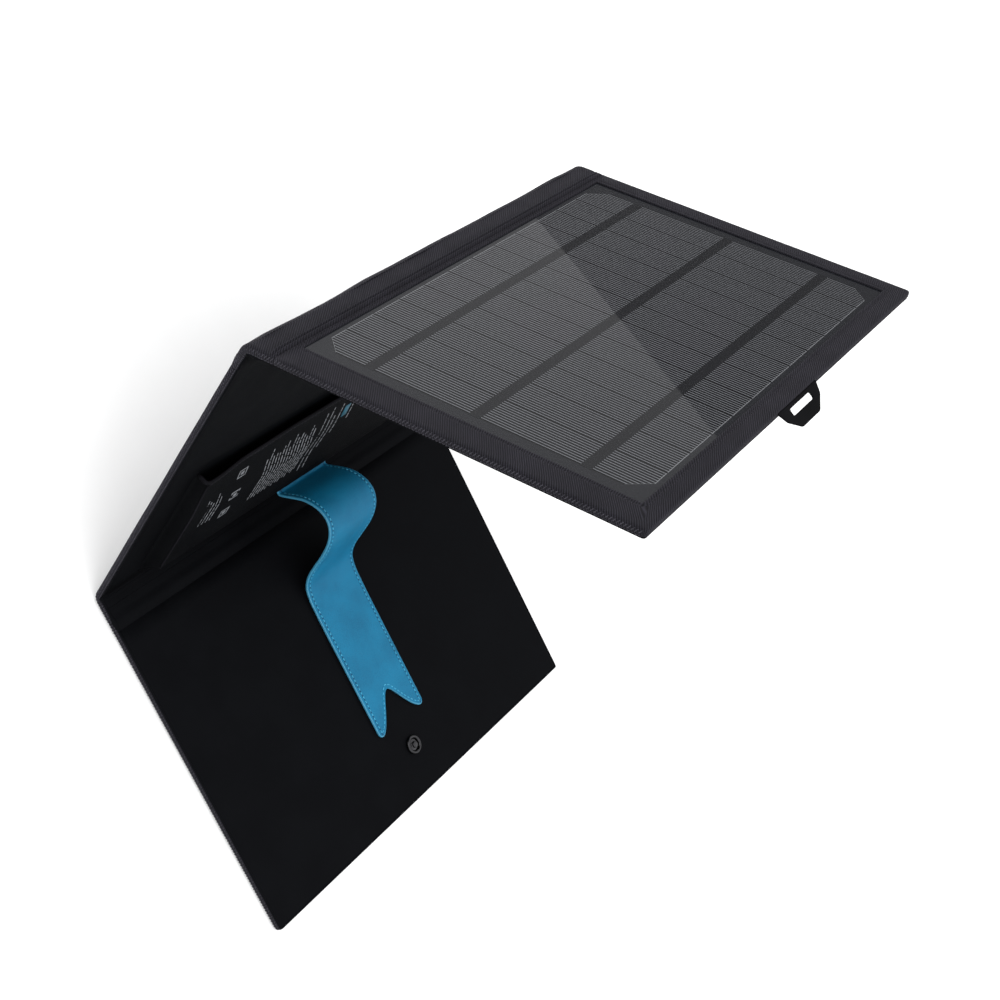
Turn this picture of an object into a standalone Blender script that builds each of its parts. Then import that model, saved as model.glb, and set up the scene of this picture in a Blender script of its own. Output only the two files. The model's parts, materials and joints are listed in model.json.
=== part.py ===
"""Folding solar charger: three fabric-covered leaves joined by two fabric spines.

The leaves are named upper, middle and lower. They form one chain, lower - spine - middle - spine - upper, and every
link of the chain is modelled in its own frame: x runs along the chain, y along the folds, z towards the cell side.
The lower leaf lies on the floor with its cells down, the middle leaf leans up from it, and the upper one slopes on.
"""

import math

import bmesh
import bpy
from mathutils import Vector

MM = 0.001

# --- driving dimensions -------------------------------------------------------------------------------------------
LENGTH = 275 * MM             # leaf length, along the folds
UPPER_SPAN = 190.7 * MM       # fold to free edge, spine included
MIDDLE_SPAN = 193.5 * MM      # fold to fold
LOWER_SPAN = 194.7 * MM       # fold to free edge, spine included
UPPER_SPINE = 6 * MM          # crease to crease
LOWER_SPINE = 16 * MM         # wider, because it spans two leaves when the panel is closed
TENT_ANGLE = math.radians(115)  # inner angle at both folds

# Depths below the cell-side surface of a leaf. The crease axes lie HINGE_DEPTH below that surface.
HINGE_DEPTH = 0.4 * MM
LEAF_THICKNESS = 4.4 * MM
LAYERS = {
    "front_cover": (0.0 * MM, 0.6 * MM),
    "front_sheet": (0.8 * MM, 1.15 * MM),
    "ribbons": (1.35 * MM, 1.5 * MM),
    "cells": (1.7 * MM, 1.9 * MM),
    "backsheet": (2.1 * MM, 2.5 * MM),
    "stiffener": (2.7 * MM, 3.5 * MM),
    "back_cover": (3.7 * MM, 4.4 * MM),
}
SPINE_THICKNESS = 0.8 * MM
CREASE_GAP = 1.2 * MM         # from a crease axis to the fabric on each side of it
BOARD_GAP = 3.5 * MM          # from a crease axis to the boards inside a leaf
BINDING_WIDTH = 3 * MM
CORNER_RADIUS = 3 * MM
GAP = 0.3 * MM                # between touching pieces

# Solar laminate: strips of a 156 mm wafer, twelve in series, under three covering ribbons.
CELL_WIDTH = 156 * MM
STRIP_COUNT = 12
STRIP_PITCH = 19.5 * MM
STRIP_GAP = 0.7 * MM
CELL_CHAMFER = 8.7 * MM
RIBBON_WIDTH = 5.2 * MM
RIBBON_PLACES = (1 / 6, 1 / 2, 5 / 6)   # shares of the cell width
LAMINATE_MARGIN_X = 6.8 * MM  # laminate beyond the cells, partly under the cover
LAMINATE_MARGIN_Y = 11.5 * MM
WINDOW_MARGIN_X = 2.8 * MM    # window beyond the cells
WINDOW_MARGIN_Y = 6.8 * MM
CELL_SHIFT_Y = 2.0 * MM       # the laminate sits nearer to the far edge
UPPER_CELL_START = 21.6 * MM  # from the upper fold

# Pocket on the back of the middle leaf, x measured up from the lower fold.
POCKET_X = (22 * MM, 90 * MM)
POCKET_HALF_LENGTH = 115 * MM
POCKET_HEIGHT = 9 * MM
POCKET_WALL = 0.8 * MM
POCKET_CORNER = 2 * MM
POCKET_HEM = 2.2 * MM         # width of the bound edge of the mouth

# Charge regulator in the pocket.
BOX_X = (27 * MM, 59 * MM)
BOX_Y = (-92 * MM, -28 * MM)
BOX_HEIGHT = 7.2 * MM
BOX_WALL = 1.2 * MM
BOX_CORNER = 2 * MM
BOARD_THICKNESS = 0.4 * MM
PORT_DEPTH = 12 * MM
PORT_WIDTH = 13.4 * MM
PORT_WALL = 0.4 * MM
PORT_CARRIER = 2 * MM         # solid back of a socket
PORT_PLACES = {"near": 8 * MM, "far": 26 * MM}   # along y, from the near end of the box
LENS_SIZE = (3 * MM, 6 * MM)
LENS_PLACE = (8 * MM, 12 * MM)  # from the low x side and from the far end of the box
SCREW_RADIUS = 1.1 * MM
SCREW_INSET = 4.2 * MM        # from the box's low side and its ends
SCREW_CLEAR_OF_PORTS = 16 * MM  # from the box's socket side

# Leather strap, rooted at the lower edge of the pocket.
STRAP_WIDTH = 41.3 * MM
STRAP_THICKNESS = 1.6 * MM
STRAP_ROOT = (19.0 * MM, 9.8 * MM)   # along the middle leaf, height off its back
STRAP_TIP = 154.5 * MM               # from the lower fold, along the lower leaf
STRAP_NOTCH_DEPTH = 20 * MM
STRAP_TIP_WIDTH = 4 * MM
STRAP_STEP = 4 * MM                  # length of one flat of the bent strap
STRAP_FLAT = 60 * MM                 # end stretch that lies flat
ANCHOR_THICKNESS = 1.2 * MM
STRAP_ARCH = [(8, 33), (14.5, 40), (21.6, 42.6), (28.5, 40.8), (34.5, 35.5), (39.5, 28), (44, 19), (48.5, 10.5),
              (54, 4.6), (61, 2.2), (70, 1.5)]   # mm along the lower leaf from the fold, mm above its back
STRAP_REST_HEIGHT = 1.2 * MM         # strap's middle surface above the lower leaf's back

SNAP_X = 168 * MM                    # from the lower fold, along the lower leaf
SNAP_RADIUS = 5.4 * MM

TAB_TILT = math.radians(38)
TAB_ROOT_WIDTH = 40 * MM
TAB_TIP_WIDTH = 18 * MM
TAB_REACH = 10.4 * MM
TAB_THICKNESS = 1.2 * MM
TAB_SHOULDER = (0.45, 3 * MM)        # where the sides turn in: share of the reach, and inset
TAB_SLOT_X = (0.8 * MM, 4.4 * MM)
TAB_SLOT_LENGTH = 21 * MM
TAB_STANDOFF = 0.6 * MM              # hinge axis clear of the free edge


# --- materials ----------------------------------------------------------------------------------------------------
def material(name, color, roughness, metallic=0.0):
    mat = bpy.data.materials.new(name)
    mat.use_nodes = True
    shader = mat.node_tree.nodes["Principled BSDF"]
    shader.inputs["Base Color"].default_value = (*color, 1.0)
    shader.inputs["Roughness"].default_value = roughness
    shader.inputs["Metallic"].default_value = metallic
    return mat


def make_materials():
    return {
        "cover": material("woven_cover", (0.035, 0.033, 0.040), 0.85),
        "lining": material("lining_fabric", (0.012, 0.012, 0.013), 0.75),
        "binding": material("edge_binding", (0.040, 0.038, 0.045), 0.85),
        "sheet": material("clear_sheet", (0.12, 0.12, 0.13), 0.15),
        "cell": material("silicon_cell", (0.04, 0.04, 0.05), 0.3),
        "ribbon": material("black_ribbon", (0.03, 0.03, 0.035), 0.4),
        "board": material("fibre_board", (0.20, 0.22, 0.18), 0.6),
        "plastic": material("black_plastic", (0.02, 0.02, 0.02), 0.45),
        "steel": material("gunmetal", (0.18, 0.18, 0.19), 0.3, 1.0),
        "circuit": material("circuit_board", (0.02, 0.12, 0.05), 0.5),
        "lens": material("status_lens", (0.6, 0.75, 0.8), 0.2),
        "leather": material("blue_leather", (0.02, 0.35, 0.62), 0.5),
        "copper": material("copper_link", (0.6, 0.3, 0.15), 0.35, 1.0),
    }


# --- mesh helpers -------------------------------------------------------------------------------------------------
def add_object(name, mesh, parent, mat, origin=(0, 0, 0)):
    obj = bpy.data.objects.new(name, mesh)
    bpy.context.scene.collection.objects.link(obj)
    obj.parent = parent
    obj.location = origin
    mesh.materials.append(mat)
    mesh.shade_smooth()
    mesh.set_sharp_from_angle(angle=math.radians(30))
    return obj


def finish_mesh(bm, name):
    bmesh.ops.recalc_face_normals(bm, faces=bm.faces)
    mesh = bpy.data.meshes.new(name)
    bm.to_mesh(mesh)
    bm.free()
    return mesh


def add_prism(bm, outline, z0, z1):
    """A closed prism on a plan outline of (x, y) points."""
    low = [bm.verts.new((x, y, z0)) for x, y in outline]
    high = [bm.verts.new((x, y, z1)) for x, y in outline]
    bm.faces.new(low)
    bm.faces.new(high)
    for i in range(len(outline)):
        j = (i + 1) % len(outline)
        bm.faces.new((low[i], low[j], high[j], high[i]))


def prisms(name, outlines, z0, z1, parent, mat, origin=(0, 0, 0)):
    bm = bmesh.new()
    for outline in outlines:
        add_prism(bm, outline, z0, z1)
    return add_object(name, finish_mesh(bm, name), parent, mat, origin)


def rectangle(x0, x1, y0, y1):
    return [(x0, y0), (x1, y0), (x1, y1), (x0, y1)]


def rounded(points, radii, steps=5):
    """The outline through points, each corner rounded with its own radius."""
    outline = []
    count = len(points)
    for i in range(count):
        here = Vector(points[i])
        if radii[i] == 0:
            outline.append(tuple(here))
            continue
        back = (Vector(points[i - 1]) - here).normalized()
        ahead = (Vector(points[(i + 1) % count]) - here).normalized()
        half = back.angle(ahead) / 2
        start = here + back * radii[i] / math.tan(half)
        centre = here + (back + ahead).normalized() * radii[i] / math.sin(half)
        swing = (math.pi - 2 * half) * (1 if back.cross(ahead) < 0 else -1)
        spoke = start - centre
        for k in range(steps + 1):
            a = swing * k / steps
            outline.append((centre.x + spoke.x * math.cos(a) - spoke.y * math.sin(a),
                            centre.y + spoke.x * math.sin(a) + spoke.y * math.cos(a)))
    return outline


def window_plate(name, outer, inner, z0, z1, parent, mat):
    """A rectangular plate with a rectangular window; both are (x0, x1, y0, y1)."""
    bm = bmesh.new()
    rings = [[bm.verts.new((x, y, z)) for x, y in rectangle(*box)] for z in (z0, z1) for box in (outer, inner)]
    low_out, low_in, high_out, high_in = rings
    for i in range(4):
        j = (i + 1) % 4
        bm.faces.new((low_out[i], low_out[j], low_in[j], low_in[i]))
        bm.faces.new((high_out[i], high_out[j], high_in[j], high_in[i]))
        bm.faces.new((low_out[i], low_out[j], high_out[j], high_out[i]))
        bm.faces.new((low_in[i], low_in[j], high_in[j], high_in[i]))
    return add_object(name, finish_mesh(bm, name), parent, mat)


def turned(name, profile, parent, mat, origin, steps=24):
    """A solid turned about the local z axis from (radius, z) points, bottom up and back to the axis."""
    bm = bmesh.new()
    rings = []
    for r, z in profile:
        if r == 0:
            rings.append([bm.verts.new((0, 0, z))])
        else:
            turn = [2 * math.pi * k / steps for k in range(steps)]
            rings.append([bm.verts.new((r * math.cos(a), r * math.sin(a), z)) for a in turn])
    closed = profile[0][0] != 0
    pairs = list(zip(rings, rings[1:])) + ([(rings[-1], rings[0])] if closed else [])
    for a, b in pairs:
        for k in range(steps):
            m = (k + 1) % steps
            if len(a) == 1:
                bm.faces.new((a[0], b[k], b[m]))
            elif len(b) == 1:
                bm.faces.new((a[k], a[m], b[0]))
            else:
                bm.faces.new((a[k], a[m], b[m], b[k]))
    return add_object(name, finish_mesh(bm, name), parent, mat, origin)


def cut(target, cutter):
    cutter.hide_render = True
    cutter.display_type = "WIRE"
    modifier = target.modifiers.new("cut", "BOOLEAN")
    modifier.operation = "DIFFERENCE"
    modifier.solver = "EXACT"
    modifier.object = cutter


# --- chain frames -------------------------------------------------------------------------------------------------
def link_frame(name, x, z, angle):
    """An empty on a crease axis: its x axis points up the chain at the given angle above the floor."""
    empty = bpy.data.objects.new(name, None)
    bpy.context.scene.collection.objects.link(empty)
    empty.location = (x, 0, z)
    empty.rotation_euler = (0, -angle, 0)
    return empty


def make_frames():
    lower_angle = math.pi
    middle_angle = TENT_ANGLE
    upper_angle = 2 * TENT_ANGLE - math.pi
    fold_x = lower_fold_x()
    fold_z = HINGE_DEPTH
    top_x = fold_x + MIDDLE_SPAN * math.cos(middle_angle)
    top_z = fold_z + MIDDLE_SPAN * math.sin(middle_angle)
    return {
        "lower": link_frame("lower_frame", fold_x + LOWER_SPINE, fold_z, lower_angle),
        "lower_spine": link_frame("lower_spine_frame", fold_x, fold_z, lower_angle),
        "middle": link_frame("middle_frame", fold_x, fold_z, middle_angle),
        "upper_spine": link_frame("upper_spine_frame", top_x, top_z, upper_angle),
        "upper": link_frame("upper_frame", top_x + UPPER_SPINE * math.cos(upper_angle),
                            top_z + UPPER_SPINE * math.sin(upper_angle), upper_angle),
    }


def lower_fold_x():
    """World x of the lower fold, which puts the middle of the whole object's footprint at x = 0."""
    upper_fold_x = (MIDDLE_SPAN - CREASE_GAP) * math.cos(TENT_ANGLE) - HINGE_DEPTH * math.sin(TENT_ANGLE)
    return -(LOWER_SPAN + upper_fold_x) / 2


def depth(below_front):
    """Local z of a depth below the cell-side surface."""
    return HINGE_DEPTH - below_front


# --- leaves -------------------------------------------------------------------------------------------------------
def leaf_layers(name, frame, x0, x1, free_low, free_high, cell_start, mats):
    """One leaf between x0 and x1. A free end carries the binding, a hinged end starts beside its crease axis."""
    half = LENGTH / 2
    inset = BINDING_WIDTH + GAP
    y0, y1 = -half + inset, half - inset
    cover_x = (x0 + (inset if free_low else CREASE_GAP), x1 - (inset if free_high else CREASE_GAP))
    board_x = (x0 + (inset if free_low else BOARD_GAP), x1 - (inset if free_high else BOARD_GAP))
    cells_x = (cell_start, cell_start + CELL_WIDTH)
    cell_half = STRIP_COUNT * STRIP_PITCH / 2
    cells_y = (CELL_SHIFT_Y - cell_half, CELL_SHIFT_Y + cell_half)

    def layer(kind):
        top, bottom = LAYERS[kind]
        return depth(bottom), depth(top)

    window = (cells_x[0] - WINDOW_MARGIN_X, cells_x[1] + WINDOW_MARGIN_X,
              cells_y[0] - WINDOW_MARGIN_Y, cells_y[1] + WINDOW_MARGIN_Y)
    laminate = rectangle(cells_x[0] - LAMINATE_MARGIN_X, cells_x[1] + LAMINATE_MARGIN_X,
                         cells_y[0] - LAMINATE_MARGIN_Y, cells_y[1] + LAMINATE_MARGIN_Y)
    window_plate(f"{name}_front_cover", (*cover_x, y0, y1), window, *layer("front_cover"), frame, mats["cover"])
    prisms(f"{name}_front_sheet", [laminate], *layer("front_sheet"), frame, mats["sheet"])
    prisms(f"{name}_backsheet", [laminate], *layer("backsheet"), frame, mats["board"])
    prisms(f"{name}_stiffener", [rectangle(*board_x, y0, y1)], *layer("stiffener"), frame, mats["plastic"])
    prisms(f"{name}_back_cover", [rectangle(*board_x, y0, y1)], *layer("back_cover"), frame, mats["lining"])
    make_cells(name, frame, cells_x, cells_y, layer("cells"), mats["cell"])
    for share, place in zip(RIBBON_PLACES, ("inner", "centre", "outer")):
        middle = cells_x[0] + CELL_WIDTH * share
        ribbon = rectangle(middle - RIBBON_WIDTH / 2, middle + RIBBON_WIDTH / 2, *cells_y)
        prisms(f"{name}_ribbon_{place}", [ribbon], *layer("ribbons"), frame, mats["ribbon"])


def make_cells(name, frame, cells_x, cells_y, layer, mat):
    """The string of strips, with the wafer's cut-off corners. The strips stay joined under the ribbons."""
    (x0, x1), (y0, y1) = cells_x, cells_y
    c = CELL_CHAMFER
    outline = [(x0 + c, y0), (x1 - c, y0), (x1, y0 + c), (x1, y1 - c), (x1 - c, y1), (x0 + c, y1), (x0, y1 - c),
               (x0, y0 + c)]
    cells = prisms(f"{name}_cells", [outline], *layer, frame, mat)
    joins = [x0 + CELL_WIDTH * share for share in RIBBON_PLACES]
    starts = [x0 - MM] + [x + RIBBON_WIDTH / 4 for x in joins]
    ends = [x - RIBBON_WIDTH / 4 for x in joins] + [x1 + MM]
    slits = []
    for i in range(1, STRIP_COUNT):
        y = y0 + i * STRIP_PITCH
        slits += [rectangle(a, b, y - STRIP_GAP / 2, y + STRIP_GAP / 2) for a, b in zip(starts, ends)]
    cutter = prisms(f"{name}_slit_cutter", slits, layer[0] - MM, layer[1] + MM, frame, mat)
    cut(cells, cutter)


def edge_binding(name, frame, start, end, mat):
    """Binding round the two ends and the free edge of a leaf, from the crease at start to the free edge at end."""
    half = LENGTH / 2
    inner = half - BINDING_WIDTH
    side = 1 if end > start else -1
    free = end - side * BINDING_WIDTH
    points = [(start, -half), (end, -half), (end, half), (start, half),
              (start, inner), (free, inner), (free, -inner), (start, -inner)]
    radii = [0, CORNER_RADIUS, CORNER_RADIUS, 0, 0, 0, 0, 0]
    prisms(name, [rounded(points, radii)], depth(LEAF_THICKNESS), depth(0), frame, mat)


def make_leaves(frames, mats):
    upper_end = UPPER_SPAN - UPPER_SPINE
    lower_end = -(LOWER_SPAN - LOWER_SPINE)
    leaf_layers("upper", frames["upper"], 0, upper_end, False, True, UPPER_CELL_START - UPPER_SPINE, mats)
    middle_cells = (MIDDLE_SPAN - CELL_WIDTH) / 2
    leaf_layers("middle", frames["middle"], 0, MIDDLE_SPAN, False, False, middle_cells, mats)
    lower_cells = lower_end + (UPPER_SPAN - UPPER_CELL_START - CELL_WIDTH)
    leaf_layers("lower", frames["lower"], lower_end, 0, True, False, lower_cells, mats)
    edge_binding("upper_binding", frames["upper"], BOARD_GAP, upper_end, mats["binding"])
    edge_binding("lower_binding", frames["lower"], -BOARD_GAP, lower_end, mats["binding"])
    half = LENGTH / 2
    for side, y0, y1 in (("near", -half, BINDING_WIDTH - half), ("far", half - BINDING_WIDTH, half)):
        outline = rectangle(BOARD_GAP, MIDDLE_SPAN - BOARD_GAP, y0, y1)
        prisms(f"middle_binding_{side}", [outline], depth(LEAF_THICKNESS), depth(0), frames["middle"],
               mats["binding"])


def make_spines(frames, mats):
    """Fabric spines between the creases, each with a flat copper link behind it."""
    half = LENGTH / 2
    link_y = (30 * MM, 42 * MM)
    link_depth = (SPINE_THICKNESS + GAP, SPINE_THICKNESS + GAP + 0.3 * MM)
    for name, x0, x1 in (("upper", 0, UPPER_SPINE), ("lower", -LOWER_SPINE, 0)):
        frame = frames[f"{name}_spine"]
        web = rectangle(x0 + CREASE_GAP, x1 - CREASE_GAP, -half, half)
        prisms(f"{name}_spine", [web], depth(SPINE_THICKNESS), depth(0), frame, mats["cover"])
        link = rectangle(x0 + CREASE_GAP, x1 - CREASE_GAP, *link_y)
        prisms(f"{name}_link", [link], depth(link_depth[1]), depth(link_depth[0]), frame, mats["copper"])


# --- pocket and regulator -----------------------------------------------------------------------------------------
def back_height(height):
    """Local z of a height above the back of a leaf."""
    return depth(LEAF_THICKNESS + height)


def make_pocket(frame, mats):
    x0, x1 = POCKET_X
    half = POCKET_HALF_LENGTH
    wall = POCKET_WALL
    panel_top = back_height(POCKET_HEIGHT)
    panel_base = back_height(POCKET_HEIGHT - wall)
    panel = rounded(rectangle(x0, x1, -half, half), [POCKET_CORNER, 0, 0, POCKET_CORNER])
    prisms("pocket_panel", [panel], panel_top, panel_base, frame, mats["lining"])
    gusset = [(x1, -half + GAP), (x0 + GAP, -half + GAP), (x0 + GAP, half - GAP), (x1, half - GAP),
              (x1, half - GAP - wall), (x0 + GAP + wall, half - GAP - wall),
              (x0 + GAP + wall, -half + GAP + wall), (x1, -half + GAP + wall)]
    prisms("pocket_gusset", [gusset], panel_base + GAP, back_height(GAP), frame, mats["lining"])
    hem = rectangle(x1 + GAP, x1 + GAP + POCKET_HEM, -half, half)
    prisms("pocket_binding", [hem], panel_top - wall / 2, panel_base + wall / 4, frame, mats["binding"])


def make_regulator(frame, mats):
    """Box in the pocket: an open base, a lid, a board, two sockets, a status lens and four screws."""
    x0, x1 = BOX_X
    y0, y1 = BOX_Y
    wall = BOX_WALL
    base = back_height(GAP)
    floor = back_height(GAP + wall)
    split = back_height(GAP + BOX_HEIGHT - wall - GAP)
    top = back_height(GAP + BOX_HEIGHT)
    shell = rounded(rectangle(x0, x1, y0, y1), [BOX_CORNER] * 4)
    tray = prisms("regulator_base", [shell], split, base, frame, mats["plastic"])
    hollow = rectangle(x0 + wall, x1 - wall, y0 + wall, y1 - wall)
    cut(tray, prisms("regulator_hollow", [hollow], split - MM, floor, frame, mats["plastic"]))
    starts = {side: y0 + place for side, place in PORT_PLACES.items()}
    mouths = [rectangle(x1 - 2 * wall, x1 + wall, y - GAP, y + PORT_WIDTH + GAP) for y in starts.values()]
    mouth_floor = floor + BOARD_THICKNESS
    cut(tray, prisms("regulator_port_cutter", mouths, split - MM, mouth_floor, frame, mats["plastic"]))
    prisms("regulator_lid", [shell], top, split - GAP, frame, mats["plastic"])

    board = rectangle(x0 + wall + GAP, x1 - wall - GAP, y0 + wall + GAP, y1 - wall - GAP)
    board_top = floor - GAP - BOARD_THICKNESS
    prisms("regulator_board", [board], board_top, floor - GAP, frame, mats["circuit"])
    low = board_top - GAP
    high = split + GAP
    for side, y in starts.items():
        socket_port(f"usb_port_{side}", x1 - PORT_DEPTH, x1, y, y + PORT_WIDTH, high, low, frame, mats["steel"])
    lens_x = x0 + LENS_PLACE[0]
    lens_y = y1 - LENS_PLACE[1]
    lens = rounded(rectangle(lens_x, lens_x + LENS_SIZE[0], lens_y, lens_y + LENS_SIZE[1]), [0.4 * LENS_SIZE[0]] * 4)
    prisms("status_lens", [lens], high, low - 2 * GAP, frame, mats["lens"])
    screw = [(0, low), (SCREW_RADIUS, low), (SCREW_RADIUS, high), (0, high)]
    screws_x = (x0 + SCREW_INSET, x1 - SCREW_CLEAR_OF_PORTS)
    screws_y = (y0 + SCREW_INSET, y1 - SCREW_INSET)
    places = [(x, y) for x in screws_x for y in screws_y]
    for i, (x, y) in enumerate(places):
        turned(f"regulator_screw_{i + 1}", screw, frame, mats["steel"], (x, y, 0), 12)


def socket_port(name, x0, x1, y0, y1, z0, z1, frame, mat):
    """A folded metal socket, open towards +x, with a solid tongue carrier at its back."""
    shell = prisms(name, [rectangle(x0, x1, y0, y1)], z0, z1, frame, mat)
    wall = PORT_WALL
    bore = rectangle(x0 + PORT_CARRIER, x1 + MM, y0 + wall, y1 - wall)
    cut(shell, prisms(f"{name}_cutter", [bore], z0 + wall, z1 - wall, frame, mat))


# --- strap, snap and loop -----------------------------------------------------------------------------------------
def smooth_path(points, step):
    """Points of a Catmull-Rom curve through the given (x, z) points, about one step apart."""
    path = []
    count = len(points)
    for i in range(count - 1):
        before = points[max(i - 1, 0)]
        here = points[i]
        there = points[i + 1]
        after = points[min(i + 2, count - 1)]
        pieces = max(1, round(math.dist(here, there) / step))
        for k in range(pieces):
            t = k / pieces
            path.append(tuple(0.5 * (2 * here[a] + (there[a] - before[a]) * t
                                     + (2 * before[a] - 5 * here[a] + 4 * there[a] - after[a]) * t * t
                                     + (3 * here[a] - before[a] - 3 * there[a] + after[a]) * t ** 3)
                              for a in (0, 1)))
    path.append(points[-1])
    return path


def strap_root():
    """The strap's hinge in world x and z: beside the lower edge of the pocket."""
    along, height = STRAP_ROOT
    off = LEAF_THICKNESS - HINGE_DEPTH + height
    x = lower_fold_x() + along * math.cos(TENT_ANGLE) + off * math.sin(TENT_ANGLE)
    z = HINGE_DEPTH + along * math.sin(TENT_ANGLE) - off * math.cos(TENT_ANGLE)
    return x, z


def make_strap(mats):
    """A strap that arches off the pocket's lower edge and lies down on the back of the lower leaf."""
    root_x, root_z = strap_root()
    frame = bpy.data.objects.new("strap_frame", None)
    bpy.context.scene.collection.objects.link(frame)
    frame.location = (root_x, 0, root_z)
    inner_fold = lower_fold_x() + (LEAF_THICKNESS - HINGE_DEPTH) / math.tan(TENT_ANGLE / 2)
    points = [(0, 0)]
    points += [(inner_fold + x * MM - root_x, LEAF_THICKNESS + z * MM - root_z) for x, z in STRAP_ARCH]
    tip = lower_fold_x() + STRAP_TIP - root_x
    rest = LEAF_THICKNESS + STRAP_REST_HEIGHT - root_z
    points += [(tip - STRAP_FLAT, rest), (tip, rest)]
    path = smooth_path(points, STRAP_STEP)[1:]
    half = STRAP_THICKNESS / 2
    sides = [[], []]
    for i, (x, z) in enumerate(path):
        a = Vector(path[max(i - 1, 0)])
        b = Vector(path[min(i + 1, len(path) - 1)])
        run = (b - a).normalized()
        sides[0].append((x - run.y * half, z + run.x * half))
        sides[1].append((x + run.y * half, z - run.x * half))
    bm = bmesh.new()
    rows = [[bm.verts.new((x, y, z)) for x, z in side] for y in (-STRAP_WIDTH / 2, STRAP_WIDTH / 2)
            for side in sides]
    near_top, near_low, far_top, far_low = rows
    last = len(path) - 1
    for i in range(last):
        j = i + 1
        bm.faces.new((near_top[i], near_top[j], far_top[j], far_top[i]))
        bm.faces.new((near_low[i], near_low[j], far_low[j], far_low[i]))
        bm.faces.new((near_top[i], near_top[j], near_low[j], near_low[i]))
        bm.faces.new((far_top[i], far_top[j], far_low[j], far_low[i]))
    for i in (0, last):
        bm.faces.new((near_top[i], far_top[i], far_low[i], near_low[i]))
    strap = add_object("strap", finish_mesh(bm, "strap"), frame, mats["leather"])
    open_half = STRAP_WIDTH / 2 - STRAP_TIP_WIDTH
    notch = [(tip - STRAP_NOTCH_DEPTH, 0), (tip + MM, -open_half), (tip + MM, open_half)]
    cutter = prisms("strap_notch_cutter", [rounded(notch, [1.5 * MM, 0, 0])], rest - 3 * MM, rest + 3 * MM, frame,
                    mats["leather"])
    cut(strap, cutter)


def make_strap_anchor(frame, mats):
    """Sewn-on patch that holds the strap's root against the lower edge of the pocket."""
    half = STRAP_WIDTH / 2 - MM
    edge = POCKET_X[0] - GAP
    top = back_height(STRAP_ROOT[1] - STRAP_THICKNESS)
    patch = rectangle(edge - ANCHOR_THICKNESS, edge, -half, half)
    prisms("strap_anchor", [patch], top, back_height(GAP), frame, mats["leather"])


def make_snap(frame, mats):
    """Snap on the back of the lower leaf: a rolled ring and the stud in it. Profiles are in shares of the radius."""
    r = SNAP_RADIUS
    origin = (LOWER_SPINE - SNAP_X, 0, back_height(GAP))
    ring = [(1, 0), (1, 0.17), (0.91, 0.26), (0.78, 0.26), (0.67, 0.17), (0.67, 0)]
    stud = [(0, 0), (0.61, 0), (0.61, 0.07), (0.35, 0.09), (0.31, 0.19), (0.35, 0.30), (0.26, 0.39), (0, 0.41)]
    for name, profile in (("snap_ring", ring), ("snap_stud", stud)):
        turned(name, [(a * r, -b * r) for a, b in profile], frame, mats["steel"], origin)


def make_loop_tab(upper_frame, mats):
    """Loop sewn to the free edge of the upper leaf, with a slot next to the edge. It droops from its root."""
    root = bpy.data.objects.new("loop_tab_frame", None)
    bpy.context.scene.collection.objects.link(root)
    root.parent = upper_frame
    root.location = (UPPER_SPAN - UPPER_SPINE + GAP + TAB_STANDOFF, 0, depth(LEAF_THICKNESS / 2))
    root.rotation_euler = (0, TAB_TILT, 0)
    wide = TAB_ROOT_WIDTH / 2
    slim = TAB_TIP_WIDTH / 2
    shoulder_x = TAB_REACH * TAB_SHOULDER[0]
    shoulder_y = wide - TAB_SHOULDER[1]
    outline = [(0, -wide), (shoulder_x, -shoulder_y), (TAB_REACH, -slim), (TAB_REACH, slim), (shoulder_x, shoulder_y),
               (0, wide)]
    shape = rounded(outline, [0.5 * MM, 2 * MM, 2 * MM, 2 * MM, 2 * MM, 0.5 * MM], 4)
    tab = prisms("loop_tab", [shape], -TAB_THICKNESS / 2, TAB_THICKNESS / 2, root, mats["binding"])
    slot = rounded(rectangle(*TAB_SLOT_X, -TAB_SLOT_LENGTH / 2, TAB_SLOT_LENGTH / 2), [1.2 * MM] * 4, 3)
    cutter = prisms("loop_tab_slot_cutter", [slot], -TAB_THICKNESS, TAB_THICKNESS, root, mats["binding"])
    cut(tab, cutter)


def build():
    for obj in list(bpy.data.objects):
        bpy.data.objects.remove(obj)
    mats = make_materials()
    frames = make_frames()
    make_leaves(frames, mats)
    make_spines(frames, mats)
    make_pocket(frames["middle"], mats)
    make_regulator(frames["middle"], mats)
    make_strap_anchor(frames["middle"], mats)
    make_strap(mats)
    make_snap(frames["lower"], mats)
    make_loop_tab(frames["upper"], mats)


build()
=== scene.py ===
"""Looks of the folding solar charger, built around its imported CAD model.

Lengths are in millimetres in the frame of a crease, and in metres once placed in the row frame.
A crease frame has x up the chain of leaves, y along the folds and z towards the cell side.
"""

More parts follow.
